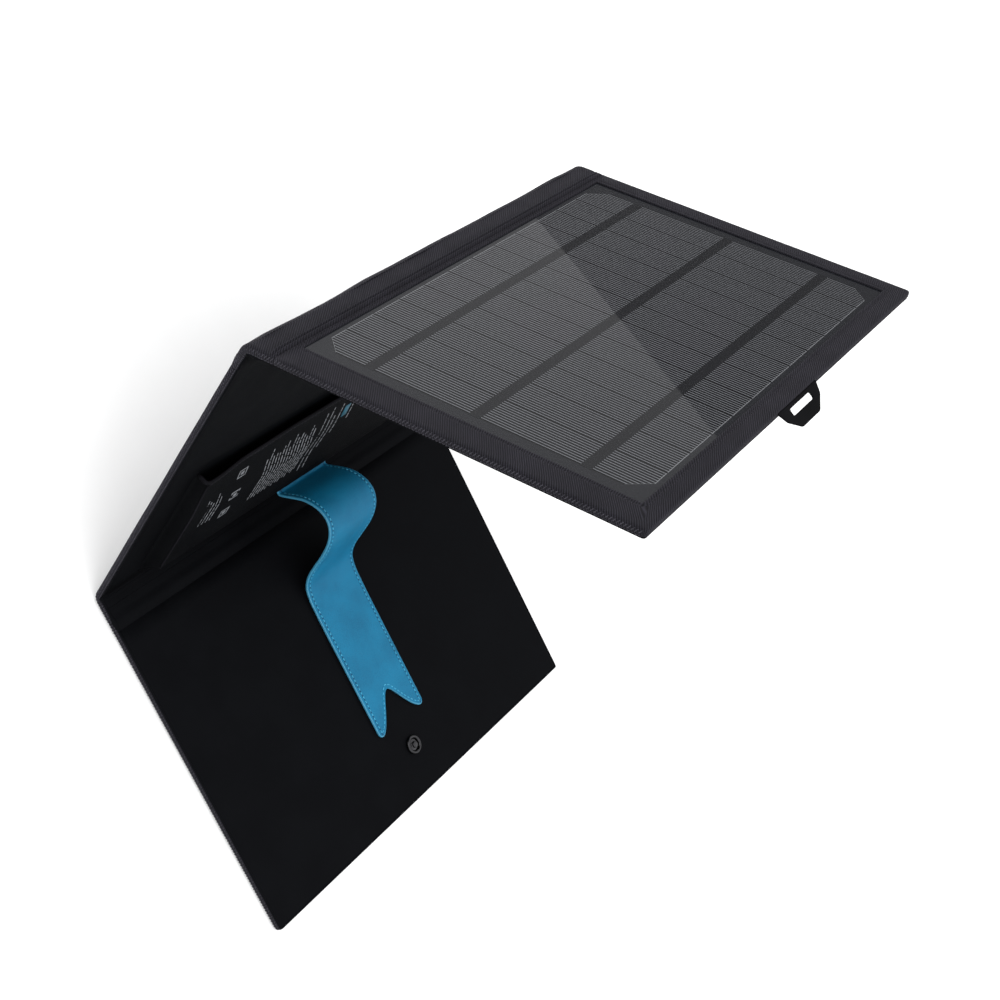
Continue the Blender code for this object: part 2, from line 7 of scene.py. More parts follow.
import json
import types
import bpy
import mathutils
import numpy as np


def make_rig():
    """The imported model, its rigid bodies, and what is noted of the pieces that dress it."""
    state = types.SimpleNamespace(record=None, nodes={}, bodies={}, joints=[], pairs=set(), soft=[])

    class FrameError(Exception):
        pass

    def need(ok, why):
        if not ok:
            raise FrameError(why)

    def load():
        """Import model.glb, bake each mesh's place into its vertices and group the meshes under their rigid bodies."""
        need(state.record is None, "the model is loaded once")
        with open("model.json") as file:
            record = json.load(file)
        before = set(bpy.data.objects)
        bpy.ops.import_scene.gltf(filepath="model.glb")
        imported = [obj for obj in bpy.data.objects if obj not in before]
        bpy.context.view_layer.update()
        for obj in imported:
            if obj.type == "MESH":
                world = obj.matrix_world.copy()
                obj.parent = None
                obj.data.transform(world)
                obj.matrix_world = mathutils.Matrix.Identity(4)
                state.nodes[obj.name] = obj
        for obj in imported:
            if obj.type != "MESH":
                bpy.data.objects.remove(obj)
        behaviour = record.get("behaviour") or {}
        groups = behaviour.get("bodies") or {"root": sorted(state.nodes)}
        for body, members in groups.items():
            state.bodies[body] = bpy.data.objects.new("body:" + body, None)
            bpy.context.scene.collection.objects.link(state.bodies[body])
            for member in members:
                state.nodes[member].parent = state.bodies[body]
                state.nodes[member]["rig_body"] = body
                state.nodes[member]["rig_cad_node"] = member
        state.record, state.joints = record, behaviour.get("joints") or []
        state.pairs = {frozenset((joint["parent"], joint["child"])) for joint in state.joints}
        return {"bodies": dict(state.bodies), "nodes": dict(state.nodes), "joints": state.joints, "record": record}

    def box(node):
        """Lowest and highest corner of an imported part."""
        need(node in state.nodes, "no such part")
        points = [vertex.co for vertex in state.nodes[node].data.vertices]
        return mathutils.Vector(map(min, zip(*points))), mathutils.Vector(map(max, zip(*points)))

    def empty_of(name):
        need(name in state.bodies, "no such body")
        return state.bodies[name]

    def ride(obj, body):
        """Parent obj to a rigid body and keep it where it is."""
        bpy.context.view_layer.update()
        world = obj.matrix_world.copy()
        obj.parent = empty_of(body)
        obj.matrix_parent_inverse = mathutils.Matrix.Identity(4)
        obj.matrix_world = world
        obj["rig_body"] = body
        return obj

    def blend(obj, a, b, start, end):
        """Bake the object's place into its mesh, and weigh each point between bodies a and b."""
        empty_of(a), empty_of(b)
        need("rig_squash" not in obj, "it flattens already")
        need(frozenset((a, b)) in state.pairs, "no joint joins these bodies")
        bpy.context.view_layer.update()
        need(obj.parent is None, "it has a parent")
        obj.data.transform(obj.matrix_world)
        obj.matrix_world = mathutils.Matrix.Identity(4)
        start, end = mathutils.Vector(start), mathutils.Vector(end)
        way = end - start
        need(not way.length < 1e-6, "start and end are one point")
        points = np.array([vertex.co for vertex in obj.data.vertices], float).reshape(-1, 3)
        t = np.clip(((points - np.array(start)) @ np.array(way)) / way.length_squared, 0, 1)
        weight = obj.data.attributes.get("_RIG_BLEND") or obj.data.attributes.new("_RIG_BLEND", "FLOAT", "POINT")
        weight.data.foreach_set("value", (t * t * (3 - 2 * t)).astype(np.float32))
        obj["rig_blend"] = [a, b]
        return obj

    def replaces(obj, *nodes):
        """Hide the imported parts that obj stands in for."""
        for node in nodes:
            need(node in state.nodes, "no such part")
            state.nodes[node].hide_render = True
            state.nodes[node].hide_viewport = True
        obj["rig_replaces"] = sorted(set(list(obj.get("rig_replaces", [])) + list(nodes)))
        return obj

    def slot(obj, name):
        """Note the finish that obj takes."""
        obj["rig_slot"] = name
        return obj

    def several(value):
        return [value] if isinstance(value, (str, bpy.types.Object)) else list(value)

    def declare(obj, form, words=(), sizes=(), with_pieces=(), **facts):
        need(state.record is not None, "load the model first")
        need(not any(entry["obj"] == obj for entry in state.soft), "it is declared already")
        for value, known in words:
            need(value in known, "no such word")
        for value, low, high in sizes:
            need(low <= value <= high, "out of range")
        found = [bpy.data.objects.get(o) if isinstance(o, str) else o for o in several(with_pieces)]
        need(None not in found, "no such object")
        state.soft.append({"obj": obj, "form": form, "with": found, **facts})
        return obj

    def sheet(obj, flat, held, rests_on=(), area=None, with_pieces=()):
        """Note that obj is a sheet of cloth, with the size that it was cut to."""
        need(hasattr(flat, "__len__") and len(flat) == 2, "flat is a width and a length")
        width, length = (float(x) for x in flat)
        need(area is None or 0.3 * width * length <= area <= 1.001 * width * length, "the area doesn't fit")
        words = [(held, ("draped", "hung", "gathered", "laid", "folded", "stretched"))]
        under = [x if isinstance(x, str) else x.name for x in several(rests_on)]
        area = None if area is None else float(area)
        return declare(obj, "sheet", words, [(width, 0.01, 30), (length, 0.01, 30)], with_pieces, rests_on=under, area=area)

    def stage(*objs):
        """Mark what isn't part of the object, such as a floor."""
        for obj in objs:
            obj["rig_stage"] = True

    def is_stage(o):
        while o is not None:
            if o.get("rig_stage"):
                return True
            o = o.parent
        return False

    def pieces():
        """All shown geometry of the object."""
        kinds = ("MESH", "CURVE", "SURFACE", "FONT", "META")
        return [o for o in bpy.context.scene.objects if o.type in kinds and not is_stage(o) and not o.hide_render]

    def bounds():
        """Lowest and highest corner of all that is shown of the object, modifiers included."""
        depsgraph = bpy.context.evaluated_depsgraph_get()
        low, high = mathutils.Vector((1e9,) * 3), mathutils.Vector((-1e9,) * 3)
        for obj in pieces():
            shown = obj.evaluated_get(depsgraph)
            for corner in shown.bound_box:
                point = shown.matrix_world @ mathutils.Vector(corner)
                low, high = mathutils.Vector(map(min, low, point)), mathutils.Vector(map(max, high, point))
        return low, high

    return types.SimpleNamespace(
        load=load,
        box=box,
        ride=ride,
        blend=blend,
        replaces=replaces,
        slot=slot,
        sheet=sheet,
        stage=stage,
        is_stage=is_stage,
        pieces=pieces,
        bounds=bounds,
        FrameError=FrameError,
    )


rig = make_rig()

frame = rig.load()
cad_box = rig.bounds()

import json
import math

import bmesh
import bpy
import numpy as np
from mathutils import Matrix, Vector, noise

MM = 0.001
MAP = "cloth"                 # the UV map, which holds flat cloth coordinates in millimetres

# Heights in a crease frame.
FRONT = 0.4                   # cell side of a leaf
BACK = -4.0                   # lining side of a leaf
FILM = -0.35                  # top of the solar laminate
CLOTH = 0.45                  # thickness of the cover cloth

# Hinge cloth.
BEND_RADIUS = 6.0             # of a fold, measured on the crease axis
BEND_REACH = 4.5              # from a crease to where the leaf's own lining starts
WELT_WIDTH = 3.7
WELT_TO_WINDOW = 2.5
PUFF = {"upper": 0.75, "lower": 0.0}           # of the loose cloth over a spine
PUFF_RISE = 4.0               # from a welt to where it stands off in full
HINGE_FILLET = 0.9            # lining that fills the inner corner of a fold
HINGE_EASE = 1.02             # share of cloth in a hinge, for its rise and fall
HINGE_CLOTH = 0.4
LEAST_WIDTH = 10.5            # flat width stated for a hinge's cloth, at the least
WELT_HEIGHT = {"upper": 1.8, "lower": 0.3}     # the lower fold rests on the floor

STRAP_WIDTH = 41.3
SEWN_IN = 2.3                 # from the strap's edge to its stitching
SEWN_LINE = STRAP_WIDTH / 2 - SEWN_IN


# --- crease frames ---
class Link:
    """A frame on a crease axis, with lengths in millimetres."""

    def __init__(self, origin, direction):
        self.origin = Vector(origin)
        self.x = Vector(direction).normalized()
        self.y = Vector((0, 1, 0))
        self.z = self.x.cross(self.y)

    def at(self, x, y, z):
        return self.origin + MM * (x * self.x + y * self.y + z * self.z)

    def local(self, point):
        off = (Vector(point) - self.origin) / MM
        return Vector((off.dot(self.x), off.dot(self.y), off.dot(self.z)))

    def levels(self, node, axis):
        """The different coordinates of a CAD node's vertices along one axis, sorted."""
        values = {round(self.local(v.co)[axis], 2) for v in frame["nodes"][node].data.vertices}
        return sorted(values)


class Fold:
    """The rounded way over one crease at rest, from the link below it to the link above it."""

    def __init__(self, crease, below, above):
        self.crease = Vector(crease)
        self.below = below
        self.above = above
        self.turn = below.x.angle(above.x)
        self.reach = BEND_RADIUS * math.tan(self.turn / 2)

    def at(self, s, y, z):
        side = Vector((0, y * MM, 0))
        if self.turn < 0.01 or abs(s) >= self.reach:
            link = self.above if s > 0 else self.below
            return self.crease + side + MM * (s * link.x + z * link.z)
        centre = self.crease - MM * (self.reach * self.below.x + BEND_RADIUS * self.below.z)
        phi = self.turn * (s + self.reach) / (2 * self.reach)
        spoke = math.cos(phi) * self.below.z + math.sin(phi) * self.below.x
        return centre + side + MM * (BEND_RADIUS + z) * spoke


JOINTS = {joint["name"]: joint for joint in frame["joints"]}
CREASE = {name: Vector(JOINTS[name]["pos_m"]) for name in
          ("upper_fold", "upper_fold_outer", "lower_fold", "lower_fold_outer")}
LINKS = {
    "upper": Link(CREASE["upper_fold_outer"], CREASE["upper_fold_outer"] - CREASE["upper_fold"]),
    "upper_spine": Link(CREASE["upper_fold"], CREASE["upper_fold_outer"] - CREASE["upper_fold"]),
    "middle": Link(CREASE["lower_fold"], CREASE["upper_fold"] - CREASE["lower_fold"]),
    "lower_spine": Link(CREASE["lower_fold"], CREASE["lower_fold"] - CREASE["lower_fold_outer"]),
    "lower": Link(CREASE["lower_fold_outer"], CREASE["lower_fold"] - CREASE["lower_fold_outer"]),
}
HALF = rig.box("upper_spine")[1][1] / MM      # half the length of the folds
# The angle between the middle and lower leaves.
STAND_ANGLE = math.pi - LINKS["middle"].x.angle(LINKS["lower_spine"].x)
TAB_TILT = math.radians(38)                  # of the loop's tab, from the upper leaf


class Leaf:
    """Sizes of one leaf, read from its CAD nodes. low and high say which ends in x are free edges."""

    def __init__(self, name, low, high):
        self.name = name
        self.link = LINKS[name]
        cover_x = self.link.levels(f"{name}_front_cover", 0)
        cover_y = self.link.levels(f"{name}_front_cover", 1)
        cells_x = self.link.levels(f"{name}_cells", 0)
        cells_y = self.link.levels(f"{name}_cells", 1)
        edge = HALF - cover_y[-1]
        crease_gap = LINKS["middle"].levels("middle_front_cover", 0)[0]
        self.x0 = cover_x[0] - (edge if low else crease_gap)
        self.x1 = cover_x[-1] + (edge if high else crease_gap)
        self.window = (cover_x[1], cover_x[2], cover_y[1], cover_y[2])
        self.cells = (cells_x[0], cells_x[-1], cells_y[0], cells_y[-1])
        self.free = (True, high, True, low)
        self.welt_low = self.window[0] - WELT_TO_WINDOW
        self.welt_high = self.window[1] + WELT_TO_WINDOW

    def box(self, inset, hinged_inset):
        """The leaf's outline moved in by inset at free edges, and by hinged_inset from a crease."""
        ends = (self.x0 + (inset if self.free[3] else hinged_inset),
                self.x1 - (inset if self.free[1] else hinged_inset))
        return (*ends, inset - HALF, HALF - inset)

    def cover_box(self, inset):
        """As box, but a hinged end stops at the welt."""
        ends = (self.x0 + inset if self.free[3] else self.welt_low,
                self.x1 - inset if self.free[1] else self.welt_high)
        return (*ends, inset - HALF, HALF - inset)


LEAVES = [Leaf("upper", False, True), Leaf("middle", False, False), Leaf("lower", True, False)]


# --- materials ---
class Paint:
    """A node material under construction."""

    def __init__(self, name):
        self.material = bpy.data.materials.new(name)
        self.material.use_nodes = True
        self.tree = self.material.node_tree
        self.shader = self.tree.nodes["Principled BSDF"]

    def feed(self, socket, value):
        if isinstance(value, bpy.types.NodeSocket):
            self.tree.links.new(value, socket)
        elif isinstance(value, tuple) and len(value) == 3 and socket.type == "RGBA":
            socket.default_value = (*value, 1.0)
        else:
            socket.default_value = value

    def set(self, **values):
        for name, value in values.items():
            self.feed(self.shader.inputs[name.replace("_", " ")], value)
        return self

    def cloth_point(self):
        node = self.tree.nodes.new("ShaderNodeUVMap")
        node.uv_map = MAP
        return node.outputs["UV"]

    def object_point(self):
        return self.tree.nodes.new("ShaderNodeTexCoord").outputs["Object"]

    def split(self, point):
        node = self.tree.nodes.new("ShaderNodeSeparateXYZ")
        self.feed(node.inputs[0], point)
        return node.outputs[0], node.outputs[1], node.outputs[2]

    def math(self, operation, *values):
        node = self.tree.nodes.new("ShaderNodeMath")
        node.operation = operation
        for socket, value in zip(node.inputs, values):
            self.feed(socket, value)
        return node.outputs[0]

    def noise(self, point, scale, detail=2.0, roughness=0.5):
        node = self.tree.nodes.new("ShaderNodeTexNoise")
        self.feed(node.inputs["Vector"], point)
        node.inputs["Scale"].default_value = scale
        node.inputs["Detail"].default_value = detail
        node.inputs["Roughness"].default_value = roughness
        return node.outputs["Fac"]

    def cells(self, point, scale):
        node = self.tree.nodes.new("ShaderNodeTexVoronoi")
        node.feature = "DISTANCE_TO_EDGE"
        self.feed(node.inputs["Vector"], point)
        node.inputs["Scale"].default_value = scale
        return node.outputs["Distance"]

    def remap(self, value, low, high, to_low=0.0, to_high=1.0):
        node = self.tree.nodes.new("ShaderNodeMapRange")
        node.interpolation_type = "SMOOTHSTEP"
        for socket, number in zip(node.inputs, (value, low, high, to_low, to_high)):
            self.feed(socket, number)
        return node.outputs[0]

    def mix(self, share, first, second):
        node = self.tree.nodes.new("ShaderNodeMix")
        node.data_type = "RGBA"
        self.feed(node.inputs["Factor"], share)
        colour_sockets = [socket for socket in node.inputs if socket.type == "RGBA"]
        self.feed(colour_sockets[0], first)
        self.feed(colour_sockets[1], second)
        return [socket for socket in node.outputs if socket.type == "RGBA"][0]

    def ridges(self, point, direction, pitch):
        """0 in the valleys and 1 on the ridges of parallel lines along the direction."""
        x, y, _ = self.split(point)
        across = self.math("ADD", self.math("MULTIPLY", x, -direction[1] / pitch),
                           self.math("MULTIPLY", y, direction[0] / pitch))
        wave = self.math("PINGPONG", across, 0.5)
        return self.remap(wave, 0.10, 0.46)

    def bump(self, height, distance):
        node = self.tree.nodes.new("ShaderNodeBump")
        node.inputs["Distance"].default_value = distance * MM
        self.feed(node.inputs["Height"], height)
        self.feed(self.shader.inputs["Normal"], node.outputs[0])


TWILL_DIRECTION = (0.497, -0.868)
TWILL_PITCH = 0.95


def twill(name, valley, ridge):
    """Coarse twill: slanted ribs, each made of short yarns, with painted shade in the valleys between the ribs."""
    paint = Paint(name)
    point = paint.cloth_point()
    ribs = paint.ridges(point, TWILL_DIRECTION, TWILL_PITCH)
    yarns = paint.ridges(point, (TWILL_DIRECTION[1], -TWILL_DIRECTION[0]), 0.7)
    wear = paint.noise(point, 0.06, 3.0)
    fuzz = paint.noise(point, 2.5, 2.0)
    # The ribs' height sets the colour: painted shade in the valleys, the ridge colour on top.
    height = paint.math("ADD", ribs, paint.math("MULTIPLY", yarns, 0.35))
    light = paint.math("MULTIPLY", height, paint.remap(fuzz, 0.3, 0.7, 0.5, 1.0))
    # A slow random worn tone, multiplied into the painted valley shade.
    wear_and_valley_shade = paint.math("MULTIPLY", light, paint.remap(wear, 0.3, 0.7, 0.65, 0.9))
    paint.set(Base_Color=paint.mix(wear_and_valley_shade, valley, ridge), Roughness=paint.remap(fuzz, 0.2, 0.8, 0.75, 0.95),
              Specular_IOR_Level=0.12, Sheen_Weight=0.05, Sheen_Roughness=0.5,
              Sheen_Tint=(0.75, 0.72, 0.85))
    paint.bump(height, 0.14)
    return paint.material


def plain_weave(name, dark, light, pitch):
    """Smooth lining cloth with a fine plain weave."""
    paint = Paint(name)
    point = paint.cloth_point()
    warp = paint.ridges(point, (1.0, 0.0), pitch)
    weft = paint.ridges(point, (0.0, 1.0), pitch)
    weave = paint.math("MULTIPLY", warp, weft)
    cloud = paint.noise(point, 0.035, 3.0)
    share = paint.math("ADD", paint.math("MULTIPLY", weave, 0.5), paint.remap(cloud, 0.3, 0.7, 0.0, 0.5))
    paint.set(Base_Color=paint.mix(share, dark, light), Specular_IOR_Level=0.03,
              Roughness=paint.remap(cloud, 0.2, 0.8, 0.65, 0.8))
    paint.bump(weave, 0.05)
    return paint.material


def thread(name, dark, light):
    paint = Paint(name)
    fibre = paint.noise(paint.object_point(), 2500.0, 2.0)
    paint.set(Base_Color=paint.mix(paint.remap(fibre, 0.3, 0.7), dark, light), Roughness=0.7,
              Specular_IOR_Level=0.15)
    paint.bump(fibre, 0.05)
    return paint.material


def coated(paint):
    """The clear film over the cells, as a coat on whatever lies under it."""
    paint.set(Coat_Weight=1.0, Coat_Roughness=0.015, Coat_IOR=1.36, Specular_IOR_Level=0.02)
    return paint


def under_film(name, dark, light, scale, detail, roughness):
    """A dull printed or taped material with a fine grain, under the clear film."""
    paint = coated(Paint(name))
    grain = paint.noise(paint.cloth_point(), scale, detail)
    paint.set(Base_Color=paint.mix(grain, dark, light), Roughness=roughness)
    return paint.material


def backing_film():
    paint = coated(Paint("laminate_film"))
    point = paint.cloth_point()
    mottle = paint.noise(point, 0.8, 4.0, 0.6)
    fine = paint.noise(point, 6.0, 2.0)
    paint.set(Base_Color=paint.mix(mottle, (0.0088, 0.0092, 0.0118), (0.0142, 0.015, 0.0188)),
              Roughness=paint.remap(fine, 0.2, 0.8, 0.35, 0.55))
    return paint.material


FINGER_PITCH = 1.74


def silicon():
    """Dark silicon with printed fingers. The map's y runs across a strip and starts at its edge."""
    paint = coated(Paint("silicon"))
    point = paint.cloth_point()
    _, across, _ = paint.split(point)
    fingers = paint.math("SUBTRACT", paint.math("DIVIDE", across, FINGER_PITCH), 0.4)
    wave = paint.math("PINGPONG", fingers, 0.5)
    finger = paint.remap(wave, 0.10, 0.165, 1.0, 0.0)
    grain = paint.noise(point, 1.2, 3.0)
    ground = paint.mix(grain, (0.0022, 0.0024, 0.0036), (0.0052, 0.0056, 0.0078))
    paint.set(Base_Color=paint.mix(finger, ground, (0.135, 0.139, 0.152)),
              Roughness=paint.remap(grain, 0.2, 0.8, 0.35, 0.5))
    return paint.material


def leather():
    """Smooth dyed leather: fine pores, a slow change of tone and a groove where it is sewn, with painted shade in the
    groove.
    """
    paint = Paint("leather")
    point = paint.cloth_point()
    _, across, _ = paint.split(point)
    pores = paint.cells(point, 1.1)
    tone = paint.noise(point, 0.05, 3.0)
    fine = paint.noise(point, 1.8, 4.0, 0.6)
    height = paint.math("ADD", paint.remap(pores, 0.0, 0.12), paint.math("MULTIPLY", fine, 0.5))
    share = paint.math("ADD", paint.math("MULTIPLY", height, 0.35), paint.remap(tone, 0.3, 0.7, 0.0, 0.5))
    colour = paint.mix(share, (0.0028, 0.113, 0.226), (0.0055, 0.183, 0.343))
    off_line = paint.math("ABSOLUTE", paint.math("SUBTRACT", paint.math("ABSOLUTE", across), SEWN_LINE))
    groove = paint.remap(off_line, 0.15, 0.75, 1.0, 0.0)
    # The groove takes a darker blue: painted shade in the sewn groove.
    paint.set(Base_Color=paint.mix(paint.math("MULTIPLY", groove, 0.85), colour, (0.002, 0.055, 0.125)),
              Roughness=paint.remap(fine, 0.2, 0.8, 0.45, 0.6), Specular_IOR_Level=0.18)
    paint.bump(paint.math("SUBTRACT", height, paint.math("MULTIPLY", groove, 3.0)), 0.05)
    return paint.material


def edge_paint():
    paint = Paint("edge_paint")
    grain = paint.noise(paint.cloth_point(), 0.8, 3.0)
    paint.set(Base_Color=paint.mix(grain, (0.03, 0.20, 0.34), (0.06, 0.32, 0.50)), Roughness=0.5)
    paint.bump(grain, 0.1)
    return paint.material


def moulded(name, dark, light, roughness=0.45, metallic=0.0, scale=400.0, depth=0.03):
    """Moulded, plated or pressed material with a fine even grain, for pieces that do not bend."""
    paint = Paint(name)
    point = paint.object_point()
    grain = paint.noise(point, scale, 3.0)
    tone = paint.noise(point, scale / 12, 2.0)
    share = paint.math("MULTIPLY", paint.math("ADD", grain, tone), 0.5)
    paint.set(Base_Color=paint.mix(share, dark, light), Metallic=metallic,
              Roughness=paint.remap(grain, 0.2, 0.8, roughness - 0.08, roughness + 0.08))
    paint.bump(grain, depth)
    return paint.material


def circuit():
    """Solder mask with copper tracks under it."""
    paint = Paint("circuit_board")
    x, y, _ = paint.split(paint.object_point())
    track = paint.math("MULTIPLY", paint.remap(paint.math("PINGPONG", x, 0.0012), 0.0003, 0.0005),
                       paint.remap(paint.math("PINGPONG", y, 0.004), 0.001, 0.0014))
    paint.set(Base_Color=paint.mix(track, (0.02, 0.10, 0.045), (0.03, 0.16, 0.07)), Roughness=0.4,
              Coat_Weight=0.4)
    return paint.material


def lens():
    paint = Paint("status_lens")
    cloud = paint.noise(paint.object_point(), 900.0, 2.0)
    paint.set(Base_Color=paint.mix(cloud, (0.55, 0.62, 0.66), (0.75, 0.82, 0.85)), Roughness=0.25,
              Coat_Weight=0.5)
    return paint.material


MATERIALS = {
    # The cover's near-black valley colour is painted shade between the twill's ribs.
    "cover": twill("cover_twill", (0.0006, 0.0006, 0.001), (0.028, 0.0265, 0.0362)),
    "lining": plain_weave("lining", (0.0022, 0.0024, 0.0032), (0.0044, 0.0048, 0.0058), 0.5),
    "pocket": plain_weave("pocket_cloth", (0.0022, 0.0024, 0.0031), (0.0048, 0.0052, 0.0060), 0.5),
    "tape": plain_weave("tape", (0.004, 0.004, 0.005), (0.014, 0.0135, 0.017), 0.8),
    "thread": thread("grey_thread", (0.010, 0.0095, 0.0125), (0.034, 0.033, 0.041)),
    "edge_thread": thread("edge_thread", (0.014, 0.0135, 0.017), (0.066, 0.064, 0.079)),
    "blue_thread": thread("blue_thread", (0.03, 0.26, 0.44), (0.10, 0.46, 0.68)),
    "print": moulded("white_print", (0.13, 0.14, 0.155), (0.27, 0.28, 0.30), 0.7, 0.0, 900.0),
    "blue_print": moulded("blue_print", (0.008, 0.075, 0.12), (0.014, 0.13, 0.19), 0.6, 0.0, 900.0),
    "film": backing_film(),
    "silicon": silicon(),
    "silver": under_film("silver_print", (0.12, 0.124, 0.134), (0.19, 0.195, 0.205), 3.0, 3.0, 0.4),
    "gap": under_film("gap_line", (0.001, 0.001, 0.0015), (0.003, 0.003, 0.004), 3.0, 2.0, 0.6),
    "ribbon": under_film("ribbon_tape", (0.005, 0.0052, 0.0068), (0.010, 0.0105, 0.013), 1.5, 3.0, 0.5),
    "leather": leather(),
    "edge": edge_paint(),
    "webbing": plain_weave("webbing", (0.003, 0.003, 0.0035), (0.007, 0.007, 0.008), 0.9),
    "plastic": moulded("black_plastic", (0.012, 0.012, 0.013), (0.022, 0.022, 0.024)),
    "board": moulded("fibre_board", (0.16, 0.17, 0.13), (0.24, 0.25, 0.20), 0.6),
    "gunmetal": moulded("gunmetal", (0.024, 0.024, 0.026), (0.05, 0.05, 0.053), 0.25, 1.0, 700.0, 0.01),
    "copper": moulded("copper_foil", (0.48, 0.24, 0.13), (0.62, 0.33, 0.19), 0.35, 1.0, 500.0, 0.02),
    "circuit": circuit(),
    "lens": lens(),
}


# --- mesh helpers ---
def add_piece(name, points, faces, uvs, materials, kinds=None):
    """A mesh object from row-frame points, with flat cloth coordinates as its UV map.

    kinds gives for each face the number of its material.
    """
    mesh = bpy.data.meshes.new(name)
    mesh.from_pydata([tuple(p) for p in points], [], faces)
    for key in materials:
        mesh.materials.append(MATERIALS[key])
    if kinds:
        mesh.polygons.foreach_set("material_index", kinds)
    corner = np.zeros(len(mesh.loops), np.int32)
    mesh.loops.foreach_get("vertex_index", corner)
    layer = mesh.uv_layers.new(name=MAP)
    layer.data.foreach_set("uv", np.array(uvs, np.float32)[corner].ravel())
    mesh.shade_smooth()
    mesh.update()
    obj = bpy.data.objects.new(name, mesh)
    bpy.context.scene.collection.objects.link(obj)
    return obj


def finish_cloth(obj, thickness, width, rests_on):
    """Thickens taut cloth away from its normals, and states its flat width and the length to match."""
    area = sum(face.area for face in obj.data.polygons)
    modifier = obj.modifiers.new("thickness", "SOLIDIFY")
    modifier.thickness = thickness * MM
    modifier.offset = -1
    modifier.use_even_offset = False
    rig.sheet(obj, flat=(width * MM, area / (width * MM)), held="stretched", rests_on=rests_on)


def place(obj, body, slot, *nodes):
    """A piece that rides on one body and stands for some CAD nodes."""
    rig.ride(obj, body)
    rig.slot(obj, slot)
    if nodes:
        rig.replaces(obj, *nodes)


def bend(obj, bodies, start, end, slot, *nodes):
    """As place, for a piece that bends between two bodies from one point to another."""
    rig.blend(obj, *bodies, start, end)
    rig.slot(obj, slot)
    if nodes:
        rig.replaces(obj, *nodes)


def grid_faces(rows, columns):
    return [(r * columns + c, r * columns + c + 1, (r + 1) * columns + c + 1, (r + 1) * columns + c)
            for r in range(rows - 1) for c in range(columns - 1)]


def face_outward(obj):
    """Turns the faces of a closed mesh so that they all look outward."""
    mesh = bmesh.new()
    mesh.from_mesh(obj.data)
    bmesh.ops.recalc_face_normals(mesh, faces=mesh.faces)
    mesh.to_mesh(obj.data)
    mesh.free()


def cap(ring):
    """Faces that close a flat ring of vertices, numbered along one side and back along the other."""
    count = len(ring)
    half = count // 2
    faces = [(ring[k], ring[k + 1], ring[count - k - 1], ring[count - k]) for k in range(1, half - 1)]
    return [(ring[0], ring[1], ring[-1]), *faces, (ring[half - 1], ring[half], ring[half + 1])]


def rectangle(x0, x1, y0, y1):
    return [(x0, y0), (x1, y0), (x1, y1), (x0, y1)]


class Slabs:
    """Closed prisms on plan outlines, which become one piece. place turns (x, y, height) into a point."""

    def __init__(self, place):
        self.place = place
        self.points, self.uvs, self.faces, self.kinds = [], [], [], []

    def add(self, outline, low, high, kind=0, origin=(0, 0)):
        """One prism. kind is its material's number, and its map is measured from origin."""
        base, count = len(self.points), len(outline)
        for height in (low, high):
            self.points += [self.place(x, y, height) for x, y in outline]
            self.uvs += [(x - origin[0], y - origin[1]) for x, y in outline]
        faces = [tuple(range(base + count - 1, base - 1, -1)), tuple(range(base + count, base + 2 * count))]
        for i in range(count):
            j = (i + 1) % count
            faces.append((base + i, base + j, base + count + j, base + count + i))
        self.faces += faces
        self.kinds += [kind] * len(faces)

    def piece(self, name, materials):
        return add_piece(name, self.points, self.faces, self.uvs, materials, self.kinds)


CORNER_STEPS = 5
DIVISIONS_X = 18
DIVISIONS_Y = 26


